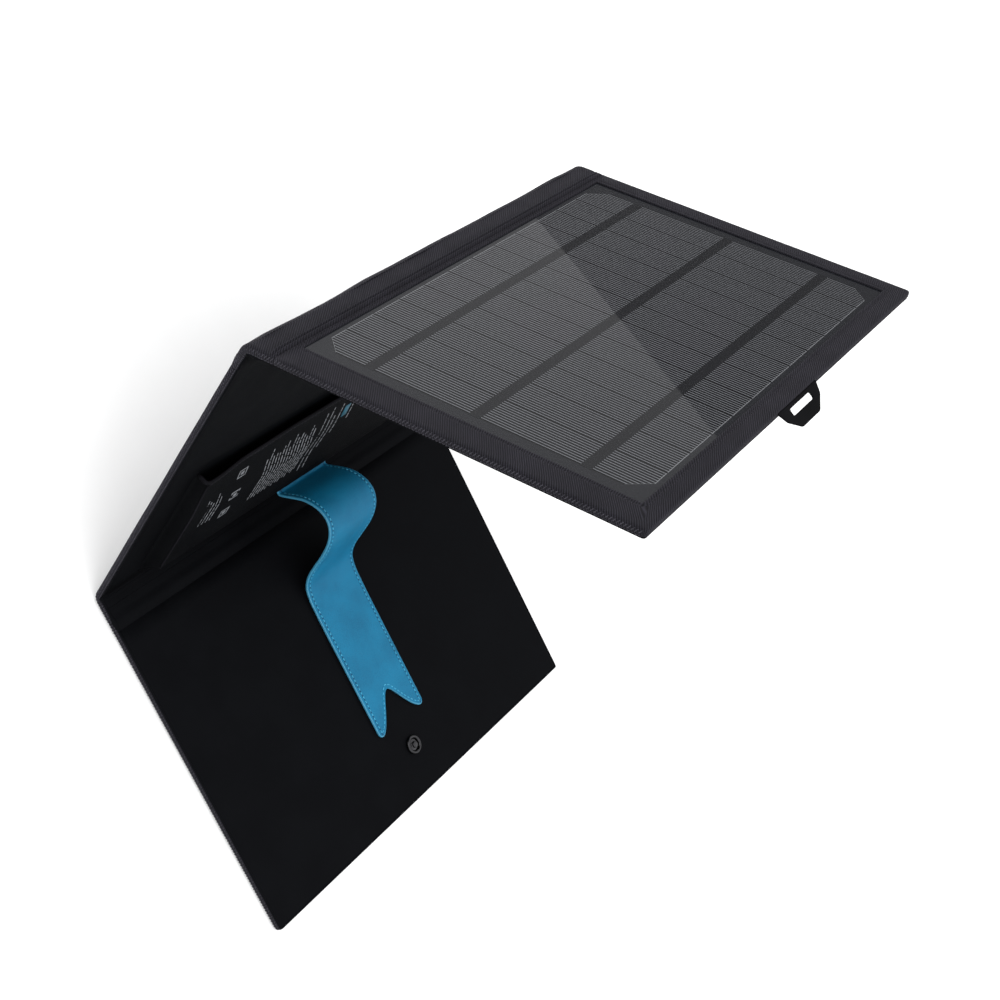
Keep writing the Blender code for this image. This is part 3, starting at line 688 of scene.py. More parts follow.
class Ring:
    """Points round a rectangle, anticlockwise from its low corner, laid out alike for every ring of a leaf.

    free tells for the sides low y, high x, high y and low x whether they are free edges. A corner
    between two free sides is rounded, any other corner is one point.
    """

    def __init__(self, free):
        self.free = free
        self.corners = []
        self.sides = []
        count = 0
        for i in range(4):
            arc = CORNER_STEPS + 1 if free[i - 1] and free[i] else 1
            self.corners.append(list(range(count, count + arc)))
            count += arc
            inner = (DIVISIONS_X, DIVISIONS_Y)[i % 2] - 1
            self.sides.append(list(range(count, count + inner)))
            count += inner
        self.count = count
        self.free_steps = set()
        for i in range(4):
            if len(self.corners[i]) > 1:
                self.free_steps.update(self.corners[i][:-1])
            if free[i]:
                self.free_steps.update([self.corners[i][-1]] + self.sides[i])

    def points(self, box, radius):
        """Plan points of the ring round a box. radius is that of its rounded corners."""
        inward = ((1, 1), (-1, 1), (-1, -1), (1, -1))
        arcs = []
        for i, ((x, y), (sx, sy)) in enumerate(zip(rectangle(*box), inward)):
            if len(self.corners[i]) == 1:
                arcs.append([(x, y)])
                continue
            start = math.pi + i * math.pi / 2
            turns = [start + math.pi / 2 * k / CORNER_STEPS for k in range(CORNER_STEPS + 1)]
            arcs.append([(x + sx * radius + radius * math.cos(a), y + sy * radius + radius * math.sin(a))
                         for a in turns])
        points = []
        for i in range(4):
            points += arcs[i]
            (ax, ay), (bx, by) = arcs[i][-1], arcs[(i + 1) % 4][0]
            steps = len(self.sides[i]) + 1
            points += [(ax + (bx - ax) * k / steps, ay + (by - ay) * k / steps) for k in range(1, steps)]
        return points

    def faces(self, inner, outer, only_free):
        """Faces between two rings whose first vertices are numbered inner and outer."""
        found = []
        for i in range(self.count):
            j = (i + 1) % self.count
            if not only_free or i in self.free_steps:
                found.append((inner + i, outer + i, outer + j, inner + j))
        return found

    def node(self, base, fill, i, j):
        """Vertex numbers of grid node (i, j): a ring's corner gives its whole arc."""
        nx, ny = DIVISIONS_X, DIVISIONS_Y
        if 0 < i < nx and 0 < j < ny:
            return [fill + (i - 1) * (ny - 1) + j - 1]
        corner = {(0, 0): 0, (nx, 0): 1, (nx, ny): 2, (0, ny): 3}.get((i, j))
        if corner is not None:
            return [base + k for k in self.corners[corner]]
        if j == 0:
            return [base + self.sides[0][i - 1]]
        if i == nx:
            return [base + self.sides[1][j - 1]]
        if j == ny:
            return [base + self.sides[2][nx - 1 - i]]
        return [base + self.sides[3][ny - 1 - j]]

    def fill(self, base, fill):
        """Faces of the grid inside the ring that starts at base. The grid's own vertices start at fill."""
        faces = []
        for i in range(DIVISIONS_X):
            for j in range(DIVISIONS_Y):
                faces.append(sum((self.node(base, fill, a, b) for a, b in rectangle(i, i + 1, j, j + 1)), []))
        return faces

    def shell(self, rings):
        """Faces of a cloth of nested rings, outermost first, and the grid inside the last of them."""
        faces = []
        for k in range(rings - 1):
            faces += self.faces((k + 1) * self.count, k * self.count, True)
        faces += self.fill((rings - 1) * self.count, rings * self.count)
        return [tuple(reversed(face)) for face in faces]


def inner_grid(x0, x1, y0, y1):
    """Plan points of the grid inside a ring, in the order that Ring.fill numbers them."""
    return [(x0 + (x1 - x0) * i / DIVISIONS_X, y0 + (y1 - y0) * j / DIVISIONS_Y)
            for i in range(1, DIVISIONS_X) for j in range(1, DIVISIONS_Y)]


def lengths(profile):
    """Running length along a profile of (inset, height) points."""
    total = [0.0]
    for a, b in zip(profile, profile[1:]):
        total.append(total[-1] + math.dist(a, b))
    return total


def waviness(x, y, seed, size=45.0):
    """A slow rise and fall between -1 and 1."""
    return noise.noise(Vector((x / size, y / size, seed)))


def fade(x, low, high):
    """0 below low, 1 above high, smooth between them."""
    t = min(max((x - low) / (high - low), 0.0), 1.0)
    return t * t * (3 - 2 * t)


# --- cover cloth ---
# The hem from the window outward, with its sewn groove: distance out and height.
HEM = [(0.0, FILM + 0.05), (0.0, 0.05), (0.15, 0.3), (0.5, 0.42), (1.1, 0.42), (1.6, 0.34), (1.9, 0.24),
       (2.2, 0.22), (2.5, 0.24), (2.8, 0.34), (3.3, 0.40)]
STITCH_LINE = 2.2
HINGED_HEM = 0.6              # share of the hem's width that is left beside a welt
FRAME_WIDTH = 12              # mean width of the cover's border, laid out flat
EDGE_FLAT = 4.0               # inset where the cover starts to wrap
WRAP = [(EDGE_FLAT, 0.40), (2.2, 0.39), (1.2, 0.33), (0.6, 0.14), (0.2, -0.2), (0.02, -0.7), (0.0, -1.4),
        (0.0, -2.2), (0.06, -2.75), (0.3, -3.1), (0.7, -3.2)]       # inset and height
CORNER = 1.8                  # plan radius of a leaf's free corners
LINING_FLAT = -3.97           # height of the lining, away from its rolled rim
LINING_RIM = [(1.1, -3.0), (0.55, -3.25), (0.3, -3.55), (0.4, -3.88), (0.8, -4.04), (1.2, -3.95),
              (1.5, -3.74), (1.9, -3.68), (2.5, -3.78), (3.4, -3.88), (5.0, -3.94), (8.0, LINING_FLAT)]
LINING_CLOTH = 0.4
LINING_SLACK = 0.22
WINDOW_CORNER = 0.8
BUCKLE = 0.16                 # unevenness of the cover's wrapped edge
HEM_BUCKLE = 0.3              # share of it that the sewn hem has


def window_box(leaf, out):
    x0, x1, y0, y1 = leaf.window
    low = out * (1 if leaf.free[3] else HINGED_HEM)
    high = out * (1 if leaf.free[1] else HINGED_HEM)
    return (x0 - low, x1 + high, y0 - out, y1 + out)


def make_cover(leaf):
    """The cover of one leaf: a frame round the laminate's window, wrapped round the free edges."""
    ring = Ring(leaf.free)
    points, uvs, faces = [], [], []

    def add_ring(box, radius, z, flat_box, flat_radius, lift):
        for (x, y), uv in zip(ring.points(box, radius), ring.points(flat_box, flat_radius)):
            rise = lift * BUCKLE * waviness(x, y, leaf.x0, 24.0)
            points.append(leaf.link.at(x, y, z + rise))
            uvs.append(uv)

    run = lengths(HEM)
    for (out, z), length in zip(HEM, run):
        flat = window_box(leaf, HEM[-1][0] - (run[-1] - length))
        add_ring(window_box(leaf, out), WINDOW_CORNER + out * 0.5, z, flat, WINDOW_CORNER, HEM_BUCKLE)
    for (inset, z), length in zip(WRAP, lengths(WRAP)):
        flat_inset = EDGE_FLAT - length
        add_ring(leaf.cover_box(inset), max(CORNER - inset, 0.4), z,
                 leaf.cover_box(flat_inset), max(CORNER - flat_inset, 0.4), fade(z, -0.5, 0.4))
    for k in range(len(HEM) + len(WRAP) - 1):
        faces += ring.faces(k * ring.count, (k + 1) * ring.count, k >= len(HEM))
    obj = add_piece(f"{leaf.name}_cover", points, faces, uvs, ["cover"])
    place(obj, leaf.name, "cover_fabric", f"{leaf.name}_front_cover", *leaf_bindings(leaf))
    finish_cloth(obj, CLOTH, FRAME_WIDTH, [f"{leaf.name}_laminate"])


def leaf_bindings(leaf):
    if leaf.name == "middle":
        return ["middle_binding_near", "middle_binding_far"]
    return [f"{leaf.name}_binding"]


def make_lining(leaf):
    """The lining of one leaf, with a rolled rim at the free edges."""
    ring = Ring(leaf.free)
    points, uvs = [], []
    run = lengths(LINING_RIM)
    rim = LINING_RIM[-1][0]
    for (inset, z), length in zip(LINING_RIM, run):
        outline = ring.points(leaf.box(inset, BEND_REACH), max(CORNER - inset, 0.3))
        points += [leaf.link.at(x, y, z) for x, y in outline]
        uvs += ring.points(leaf.box(rim - (run[-1] - length), BEND_REACH), 0.3)
    x0, x1, y0, y1 = leaf.box(rim, BEND_REACH)
    for x, y in inner_grid(x0, x1, y0, y1):
        edge = min(x - x0, x1 - x, y - y0, y1 - y)
        slack = LINING_SLACK * fade(edge, 0, 30) * waviness(x, y, 7 + leaf.x0)
        points.append(leaf.link.at(x, y, LINING_FLAT + slack))
        uvs.append((x, y))
    obj = add_piece(f"{leaf.name}_lining", points, ring.shell(len(LINING_RIM)), uvs, ["lining"])
    place(obj, leaf.name, "lining_fabric", f"{leaf.name}_back_cover")
    finish_cloth(obj, LINING_CLOTH, x1 - x0 + 2 * rim, [f"{leaf.name}_stiffener"])


# --- hinge cloth ---
def section(profile, front):
    """Points (y, z, outward y, outward z) across a leaf: a rim profile at both ends and a flat middle."""
    normals = []
    for i in range(len(profile)):
        a = profile[max(i - 1, 0)]
        b = profile[min(i + 1, len(profile) - 1)]
        run = Vector((b[0] - a[0], b[1] - a[1])).normalized()
        normals.append((-run.y, run.x))
    near = [(e - HALF, z, ny, nz) for (e, z), (ny, nz) in zip(profile, normals)]
    far = [(HALF - e, z, -ny, nz) for (e, z), (ny, nz) in zip(profile, normals)]
    y, z = min((near[0], near[-1]), key=lambda p: abs(p[0]))[:2]
    up = 1 if front else -1
    flat = [(y - 2 * y * k / DIVISIONS_Y, z, 0, up) for k in range(1, DIVISIONS_Y)]
    if near[0][0] == y:
        near, far = near[::-1], far[::-1]
    return near + flat + far[::-1]


def spacing(first, second):
    """Distance between two creases in millimetres."""
    return (CREASE[first] - CREASE[second]).length / MM


class HingeHalf:
    """Half of a hinge's cloth, over one crease. It bends between two bodies across a span."""

    def __init__(self, name, fold, bodies, span, leaf_end, split):
        self.name = name
        self.which = name.split("_")[0]
        self.fold = fold
        self.bodies = bodies
        self.span = [fold.at(s, 0, 0) for s in (-span, span)]
        self.side = 1 if leaf_end > 0 else -1
        self.split = split
        inner = leaf_end - self.side * WELT_WIDTH
        self.welt = sorted((leaf_end, inner))
        line = joined(steps(split, 0.0, 0.5), steps(0.0, inner, 0.5), steps(inner, leaf_end, 0.25))
        self.line = line if line[0] < line[-1] else line[::-1]

    def cover_lift(self, s, y):
        """The double ridge of the welt, and the loose cloth beside it. Both fade towards the rims."""
        rim = HALF - abs(y)
        wave = waviness(s * 0.5 + HALF, y, self.line[0], 21.0) * fade(rim, 1.0, 8.0)
        low, high = self.welt
        t = (s - low) / (high - low)
        ridge = WELT_HEIGHT[self.which] * abs(math.sin(2 * math.pi * t)) ** 0.6 if 0 < t < 1 else 0.0
        loose = PUFF[self.which] * fade(max(low - s, s - high), 0.0, PUFF_RISE)
        return ridge * fade(rim, 0.3, 5.0) + loose * (0.35 + wave)

    def lining_lift(self, s, _):
        return HINGE_FILLET * (1 - fade(abs(s), 0.0, BEND_REACH))

    def cloth(self, kind, stations, profile, lift, nodes=()):
        """The piece of cloth along the stations. lift says how far it stands off its profile."""
        front = kind == "cover"
        cross = section(profile, front)
        points, uvs = [], []
        for s in stations:
            for y, z, ny, nz in cross:
                off = lift(s, y)
                points.append(self.fold.at(s, y + off * ny, z + off * nz))
                uvs.append((s, y * HINGE_EASE))
        faces = grid_faces(len(stations), len(cross))
        if front:
            faces = [face[::-1] for face in faces]
        obj = add_piece(f"{self.name}_{kind}", points, faces, uvs, [kind])
        bend(obj, self.bodies, *self.span, f"{kind}_fabric", *nodes)
        backing = [f"{self.bodies[1]}_stiffener"] if self.bodies[1] in ("upper", "lower") else []
        finish_cloth(obj, HINGE_CLOTH, max(stations[-1] - stations[0], LEAST_WIDTH), backing)

    def make(self, nodes):
        self.cloth("cover", self.line, WRAP[::-1], self.cover_lift, nodes)
        inner = sorted((self.split, self.side * BEND_REACH))
        self.cloth("lining", steps(*inner, 0.4), LINING_RIM[::-1], self.lining_lift)
        stitches = Stitches()
        add_edge_stitches(stitches, [(self.fold, s) for s in self.line])
        obj = stitches.piece(f"{self.name}_edge_stitches", "edge_thread")
        bend(obj, self.bodies, *self.span, "binding_fabric")


def steps(a, b, size):
    count = max(1, math.ceil(abs(b - a) / size))
    return [a + (b - a) * k / count for k in range(count + 1)]


def joined(*runs):
    """Runs of stations that meet end to end, without the doubles."""
    line = list(runs[0])
    for run in runs[1:]:
        line += run[1:]
    return line


def make_hinges():
    upper, middle, lower = LEAVES
    upper_spine = spacing("upper_fold", "upper_fold_outer")
    lower_spine = spacing("lower_fold", "lower_fold_outer")
    middle_length = spacing("lower_fold", "upper_fold")
    halves = [
        # name, crease, bodies up the chain, half of the bending span, rigid end, split on the spine, nodes
        ("upper_hinge_lower", "upper_fold", ("middle", "upper_spine"), 3.0,
         middle.welt_high - middle_length, upper_spine / 2, ("upper_spine",)),
        ("upper_hinge_upper", "upper_fold_outer", ("upper_spine", "upper"), 3.0,
         upper.welt_low, -upper_spine / 2, ()),
        ("lower_hinge_upper", "lower_fold", ("lower_spine", "middle"), 4.0,
         middle.welt_low, -lower_spine / 2, ("lower_spine",)),
        ("lower_hinge_lower", "lower_fold_outer", ("lower", "lower_spine"), 4.0,
         lower.welt_high, lower_spine / 2, ()),
    ]
    for name, crease, bodies, span, leaf_end, split, nodes in halves:
        fold = Fold(CREASE[crease], LINKS[bodies[0]], LINKS[bodies[1]])
        HingeHalf(name, fold, bodies, span, leaf_end, split).make(nodes)


# --- laminate ---
STRIPS = 12
CELL_GAP = 1.0
CHAMFER = 8.7
PRINT_WIDTH = 0.36
TUCK = 1.5                    # of the film under the hem
SUNK = 0.1                    # of the strips and ribbons in the film
RIBBON_WIDTH = 5.2
RIBBON_TAIL = 0.4             # past the cells at both ends
RIBBON_PLACES = (1 / 6, 1 / 2, 5 / 6)


def laminate_piece(leaf, slabs, name, materials, slot, *nodes):
    obj = slabs.piece(f"{leaf.name}_{name}", materials)
    obj.data.set_sharp_from_angle(angle=math.radians(30))
    place(obj, leaf.name, slot, *nodes)


def make_laminate(leaf):
    """The laminate under the window: film, strips with printed ends and ribbons, all under a clear coat."""
    x0, x1, y0, y1 = leaf.window
    slabs = Slabs(leaf.link.at)
    slabs.add(rectangle(x0 - TUCK, x1 + TUCK, y0 - TUCK, y1 + TUCK), FILM - 1.2, FILM)
    laminate_piece(leaf, slabs, "laminate", ["film"], "clear_sheet", f"{leaf.name}_front_sheet")
    make_strips(leaf)
    make_ribbons(leaf)


def strip_outline(x0, x1, y0, y1, cut_low, cut_high, inset):
    """Outline of a strip, its ends moved in by inset. The end strips have the wafer's cut corners."""
    cut = CHAMFER - inset * (math.sqrt(2) - 1)
    low = cut if cut_low else 0
    high = cut if cut_high else 0
    a, b = x0 + inset, x1 - inset
    outline = [(a + low, y0), (b - low, y0)]
    if low:
        outline.append((b, y0 + low))
    if high:
        outline.append((b, y1 - high))
    outline += [(b - high, y1), (a + high, y1)]
    if high:
        outline.append((a, y1 - high))
    if low:
        outline.append((a, y0 + low))
    return outline


def make_strips(leaf):
    x0, x1, y0, y1 = leaf.cells
    pitch = (y1 - y0) / STRIPS
    silicon_kind, silver_kind, gap_kind = range(3)
    slabs = Slabs(leaf.link.at)
    slabs.add(strip_outline(x0, x1, y0, y1, True, True, 0.3), FILM - SUNK, FILM + 0.01, gap_kind, (x0, y0))
    for i in range(STRIPS):
        low = y0 + i * pitch + CELL_GAP / 2
        high = y0 + (i + 1) * pitch - CELL_GAP / 2
        for inset, top, kind in ((0.0, 0.02, silver_kind), (PRINT_WIDTH, 0.035, silicon_kind)):
            outline = strip_outline(x0, x1, low, high, i == 0, i == STRIPS - 1, inset)
            slabs.add(outline, FILM - SUNK, FILM + top, kind, (x0, low))
    laminate_piece(leaf, slabs, "strips", ["silicon", "silver", "gap"], "solar_cell", f"{leaf.name}_cells")


def make_ribbons(leaf):
    x0, x1, y0, y1 = leaf.cells
    slabs = Slabs(leaf.link.at)
    for share in RIBBON_PLACES:
        x = x0 + (x1 - x0) * share
        outline = rectangle(x - RIBBON_WIDTH / 2, x + RIBBON_WIDTH / 2, y0 - RIBBON_TAIL, y1 + RIBBON_TAIL)
        slabs.add(outline, FILM - SUNK, FILM + 0.05)
    nodes = [f"{leaf.name}_ribbon_{name}" for name in ("inner", "centre", "outer")]
    laminate_piece(leaf, slabs, "ribbons", ["ribbon"], "ribbon", *nodes)


# --- stitches ---
def stitch_template():
    """A capsule along x with unit radius and unit half length: (x, y, z) points and faces."""
    rings = [(-1.0, 0.0), (-0.85, 0.7), (-0.4, 1.0), (0.4, 1.0), (0.85, 0.7), (1.0, 0.0)]
    points = [(-1.0, 0, 0)]
    for x, r in rings[1:-1]:
        points += [(x, r * math.cos(a), r * math.sin(a)) for a in (k * math.pi / 3 for k in range(6))]
    points.append((1.0, 0, 0))
    faces = [(0, 1 + (k + 1) % 6, 1 + k) for k in range(6)]
    for ring in range(3):
        a, b = 1 + ring * 6, 7 + ring * 6
        faces += [(a + k, a + (k + 1) % 6, b + (k + 1) % 6, b + k) for k in range(6)]
    last = len(points) - 1
    faces += [(last - 6 + k, last - 6 + (k + 1) % 6, last) for k in range(6)]
    return np.array(points), faces


STITCH_POINTS, STITCH_FACES = stitch_template()
# Pitch, length and radius.
WINDOW_GAUGE = (2.6, 1.9, 0.17)
WELT_GAUGE = (2.8, 2.1, 0.17)
MOUTH_GAUGE = (2.8, 1.9, 0.15)
STRAP_GAUGE = (2.7, 1.8, 0.33)
EDGE_PITCH, EDGE_RADIUS = 1.6, 0.2
EDGE_ROWS = ((-1.1, 2.5, 1.3), (-2.8, 1.0, 0.0))     # height, stitch length, slant
WINDOW_SEAM = (1.9, 0.27)     # its corner radius and height
WELT_SEAM = (2.5, 0.42)       # its distance from the rim, and height


class Stitches:
    """Collects stitches and turns them into one mesh."""

    def __init__(self):
        self.points = []
        self.faces = []

    def add(self, centre, along, up, length, radius):
        along = Vector(along).normalized()
        side = Vector(up).cross(along).normalized()
        up = along.cross(side)
        basis = np.array([along * (length / 2), side * radius, up * radius]) * MM
        base = len(self.points)
        self.points += [tuple(p) for p in STITCH_POINTS @ basis + np.array(centre)]
        self.faces += [tuple(base + i for i in face) for face in STITCH_FACES]

    def run(self, path, up, pitch, length, radius, slant=0.0):
        """Stitches along a path of row-frame points. up is one normal, or one for each point."""
        path = [Vector(p) for p in path]
        ups = [Vector(up)] * len(path) if isinstance(up, (tuple, Vector)) else [Vector(u) for u in up]
        reach = pitch * MM / 2
        travelled = 0.0
        for a, b, normal in zip(path, path[1:], ups):
            span = (b - a).length
            while travelled + span >= reach:
                t = (reach - travelled) / span
                along = (b - a).normalized()
                self.add(a.lerp(b, t), along + slant * normal.cross(along), normal, length, radius)
                reach += pitch * MM
            travelled += span

    def piece(self, name, material):
        return add_piece(name, self.points, self.faces, [(0.0, 0.0)] * len(self.points), [material])


def add_edge_stitches(stitches, stations):
    """Close stitches on both wrapped ends of a leaf or a fold. A station is a frame and a place along it."""
    for z, length, slant in EDGE_ROWS:
        for side in (-1, 1):
            path = [at.at(s, side * (HALF + 0.1), z) for at, s in stations]
            stitches.run(path, (0, side, 0), EDGE_PITCH, length, EDGE_RADIUS, slant)


def make_leaf_stitches(leaf):
    """Topstitching round the window and close stitches along the wrapped edges."""
    stitches = Stitches()
    radius, height = WINDOW_SEAM
    flat = Ring(leaf.free).points(window_box(leaf, STITCH_LINE), radius)
    path = [leaf.link.at(*point, height) for point in flat + flat[:1]]
    stitches.run(path, leaf.link.z, *WINDOW_GAUGE)
    place(stitches.piece(f"{leaf.name}_stitches", "thread"), leaf.name, "binding_fabric")
    stitches = Stitches()
    x0 = leaf.x0 + CORNER if leaf.free[3] else leaf.welt_low
    x1 = leaf.x1 - CORNER if leaf.free[1] else leaf.welt_high
    add_edge_stitches(stitches, [(leaf.link, x0), (leaf.link, x1)])
    place(stitches.piece(f"{leaf.name}_edge_stitches", "edge_thread"), leaf.name, "binding_fabric")


def make_welt_stitches(leaf):
    stitches = Stitches()
    rim, height = WELT_SEAM
    welts = []
    if not leaf.free[3]:
        welts.append(leaf.welt_low - WELT_WIDTH / 2)
    if not leaf.free[1]:
        welts.append(leaf.welt_high + WELT_WIDTH / 2)
    for x in welts:
        path = [leaf.link.at(x, y, height) for y in (rim - HALF, HALF - rim)]
        stitches.run(path, leaf.link.z, *WELT_GAUGE)
    place(stitches.piece(f"{leaf.name}_welt_stitches", "thread"), leaf.name, "binding_fabric")


# --- pocket ---
POCKET_DEPTH = 8.75           # of the panel, off the lining
POCKET_WALL = [(-0.8, 0.05), (-0.1, 0.25), (0.15, 1.0), (0.2, 3.0), (0.25, 6.0), (0.3, 7.6), (0.55, 8.5),
               (1.1, 8.95), (1.8, 9.05), (2.6, 8.9), (4.0, 8.8), (8.0, POCKET_DEPTH)]   # inset and height
POCKET_CLOTH = 0.5
POCKET_TURN = 10              # what the wall towards the fold adds to the panel's flat width
POCKET_SAG = 1.5              # of the panel between the regulator and its walls
POCKET_CREASE = 0.35
MOUTH_DIP = 2.2               # how much lower the panel is at the mouth
MOUTH_RIPPLE = 0.4
POCKET_SLOPE = 13.0           # how far the foot of the panel reaches towards the fold
MOUTH = 92.3                  # along the middle leaf
MOUTH_TAPE = (2.6, 1.5)       # width and thickness of the bound edge
SEAM_INSET = 0.45


class Pocket:
    """The pocket on the back of the middle leaf.

    Its panel stands on three walls and is open on the side away from the lower fold. It sags between
    the regulator and the mouth.
    """

    def __init__(self):
        link = LINKS["middle"]
        xs, ys = link.levels("pocket_gusset", 0), link.levels("pocket_gusset", 1)
        self.box = (xs[0], MOUTH, ys[0], ys[-1])
        rx, ry = link.levels("regulator_base", 0), link.levels("regulator_base", 1)
        self.regulator = (rx[0], rx[-1], ry[0], ry[-1])

    def height(self, x, y):
        """Height of the panel off the lining, away from its rim."""
        x0, x1, y0, y1 = self.box
        rim = min(x - x0, y - y0, y1 - y)
        rx0, rx1, ry0, ry1 = self.regulator
        away = max(rx0 - x, x - rx1, ry0 - y, y - ry1)
        held = 1 - fade(away, 1.0, 14.0)
        sag = POCKET_SAG * fade(rim, 4.0, 30.0) * (1 - held)
        crease = POCKET_CREASE * waviness(x * 0.6 + y * 0.4, y * 0.5, 3.0, 16.0) * fade(rim, 2.0, 12.0)
        crease *= 1 - 0.6 * held
        near_mouth = fade(x, x1 - 30.0, x1)
        ripple = MOUTH_RIPPLE * math.cos(math.pi * (y - y0) / (y1 - y0) * 3)
        return POCKET_DEPTH - sag + crease + near_mouth * (ripple - MOUTH_DIP)

    def at(self, x, y, lift):
        return LINKS["middle"].at(x, y, BACK - self.height(x, y) - lift)


def make_pocket():
    pocket = Pocket()
    ring = Ring((True, False, True, True))
    link = LINKS["middle"]
    x0, x1, y0, y1 = pocket.box
    points, uvs = [], []
    run = lengths(POCKET_WALL)
    last = POCKET_WALL[-1][0]
    for (inset, height), length in zip(POCKET_WALL, run):
        flat_inset = last - (run[-1] - length)
        slope = POCKET_SLOPE * (1 - height / POCKET_DEPTH)
        flat_slope = POCKET_SLOPE * fade(-flat_inset, -8.0, 0.0)
        outline = ring.points((x0 + inset - slope, x1, y0 + inset, y1 - inset), max(2.4 - inset, 0.4))
        flat = ring.points((x0 + flat_inset - flat_slope, x1, y0 + flat_inset, y1 - flat_inset), 0.4)
        top = fade(height, 6.0, POCKET_DEPTH)
        for x, y in outline:
            points.append(link.at(x, y, BACK - height - top * (pocket.height(x, y) - POCKET_DEPTH)))
        uvs += flat
    for x, y in inner_grid(x0 + last, x1, y0 + last, y1 - last):
        points.append(pocket.at(x, y, 0))
        uvs.append((x, y))
    obj = add_piece("pocket", points, ring.shell(len(POCKET_WALL)), uvs, ["pocket"])
    place(obj, "middle", "lining_fabric", "pocket_panel", "pocket_gusset")
    finish_cloth(obj, POCKET_CLOTH, x1 - x0 + POCKET_TURN, ["middle_lining", "regulator_lid"])
    make_mouth_tape(pocket)
    make_pocket_seam(pocket)
    make_print(pocket)


BAND_SIDES = 8


def sweep(name, path, normals, half_width, half_height, power):
    """A closed band of tape along a path of row-frame points. normals say which way its flat side faces."""
    sides = BAND_SIDES
    points, uvs = [], []
    count = len(path)
    run = 0.0
    for i in range(count):
        along = (path[min(i + 1, count - 1)] - path[max(i - 1, 0)]).normalized()
        side = along.cross(normals[i]).normalized()
        up = side.cross(along)
        run += (path[i] - path[max(i - 1, 0)]).length / MM
        shrink = 0.75 if i in (0, count - 1) else 1.0
        for k in range(sides):
            angle = 2 * math.pi * k / sides
            c, s = math.cos(angle), math.sin(angle)
            a = half_width * shrink * math.copysign(abs(c) ** (2 / power), c)
            b = half_height * shrink * math.copysign(abs(s) ** (2 / power), s)
            points.append(path[i] + MM * (a * side + b * up))
            uvs.append((run, a))
    faces = []
    for i in range(count - 1):
        for k in range(sides):
            m = (k + 1) % sides
            faces.append((i * sides + k, i * sides + m, (i + 1) * sides + m, (i + 1) * sides + k))
    faces.append(tuple(range(sides - 1, -1, -1)))
    faces.append(tuple(range((count - 1) * sides, count * sides)))
    return add_piece(name, points, faces, uvs, ["tape"])


def make_mouth_tape(pocket):
    """The bound edge of the mouth, down both side walls and along the panel."""
    link = LINKS["middle"]
    _, x1, y0, y1 = pocket.box
    width, thickness = MOUTH_TAPE
    x = x1 - width / 2 + 0.4
    path, normals = [], []
    for y, sign in ((y0, -1), (y1, 1)):
        climb = [(y + sign * 0.1, h) for h in (0.8, 2.5, 4.2, 5.4)] + [(y - sign * 0.5, 6.3)]
        for b, h in climb if sign < 0 else climb[::-1]:
            path.append(link.at(x, b, BACK - h))
            normals.append(sign * link.y if h < 6 else (sign * link.y - link.z).normalized())
        if sign < 0:
            for y_panel in steps(y0 + 2.0, y1 - 2.0, 4.0):
                path.append(pocket.at(x, y_panel, -0.1))
                normals.append(-link.z)
    tape = sweep("pocket_binding_tape", path, normals, width / 2, thickness / 2, 2.6)
    place(tape, "middle", "binding_fabric", "pocket_binding")
    stitches = Stitches()
    line = [pocket.at(x1 - 3.4, y, 0.05) for y in steps(y0 + 2.5, y1 - 2.5, 3.0)]
    stitches.run(line, -link.z, *MOUTH_GAUGE)
    place(stitches.piece("pocket_stitches", "thread"), "middle", "binding_fabric")


def make_pocket_seam(pocket):
    """A welted seam along each end of the panel."""
    link = LINKS["middle"]
    x0, x1, y0, y1 = pocket.box
    for side, y in (("near", y0 + SEAM_INSET), ("far", y1 - SEAM_INSET)):
        path = []
        for x in steps(x0 + 1.0, x1 - 2.0, 3.0):
            lift = (pocket.height(x, y) - POCKET_DEPTH) * 0.8
            path.append(link.at(x, y, BACK - POCKET_DEPTH - lift))
        seam = sweep(f"pocket_piping_{side}", path, [-link.z] * len(path), 0.55, 0.45, 2.0)
        place(seam, "middle", "binding_fabric")


PRINT_BLOCK = (41.0, 82.0, -61.0, -21.0)      # its paragraph, along and across the middle leaf
PRINT_LINES = 15
# Lines of print: place across the leaf, start and end along it.
PRINT_HEADINGS = [(-15.0, 36.0, 82.0), (-10.5, 36.0, 84.0), (-6.5, 50.0, 76.0), (-2.0, 60.0, 84.0),
                  (8.5, 66.0, 84.0)]
PRINT_TABLE = [(-103.0 + 2.7 * k, 48.0, 71.0 - 2.5 * (k % 3)) for k in range(5)]
PRINT_SIGNS = (43.0, 58.0, 73.0)
PRINT_MARK = (70.5, 3.3, 8.5, 4.6)


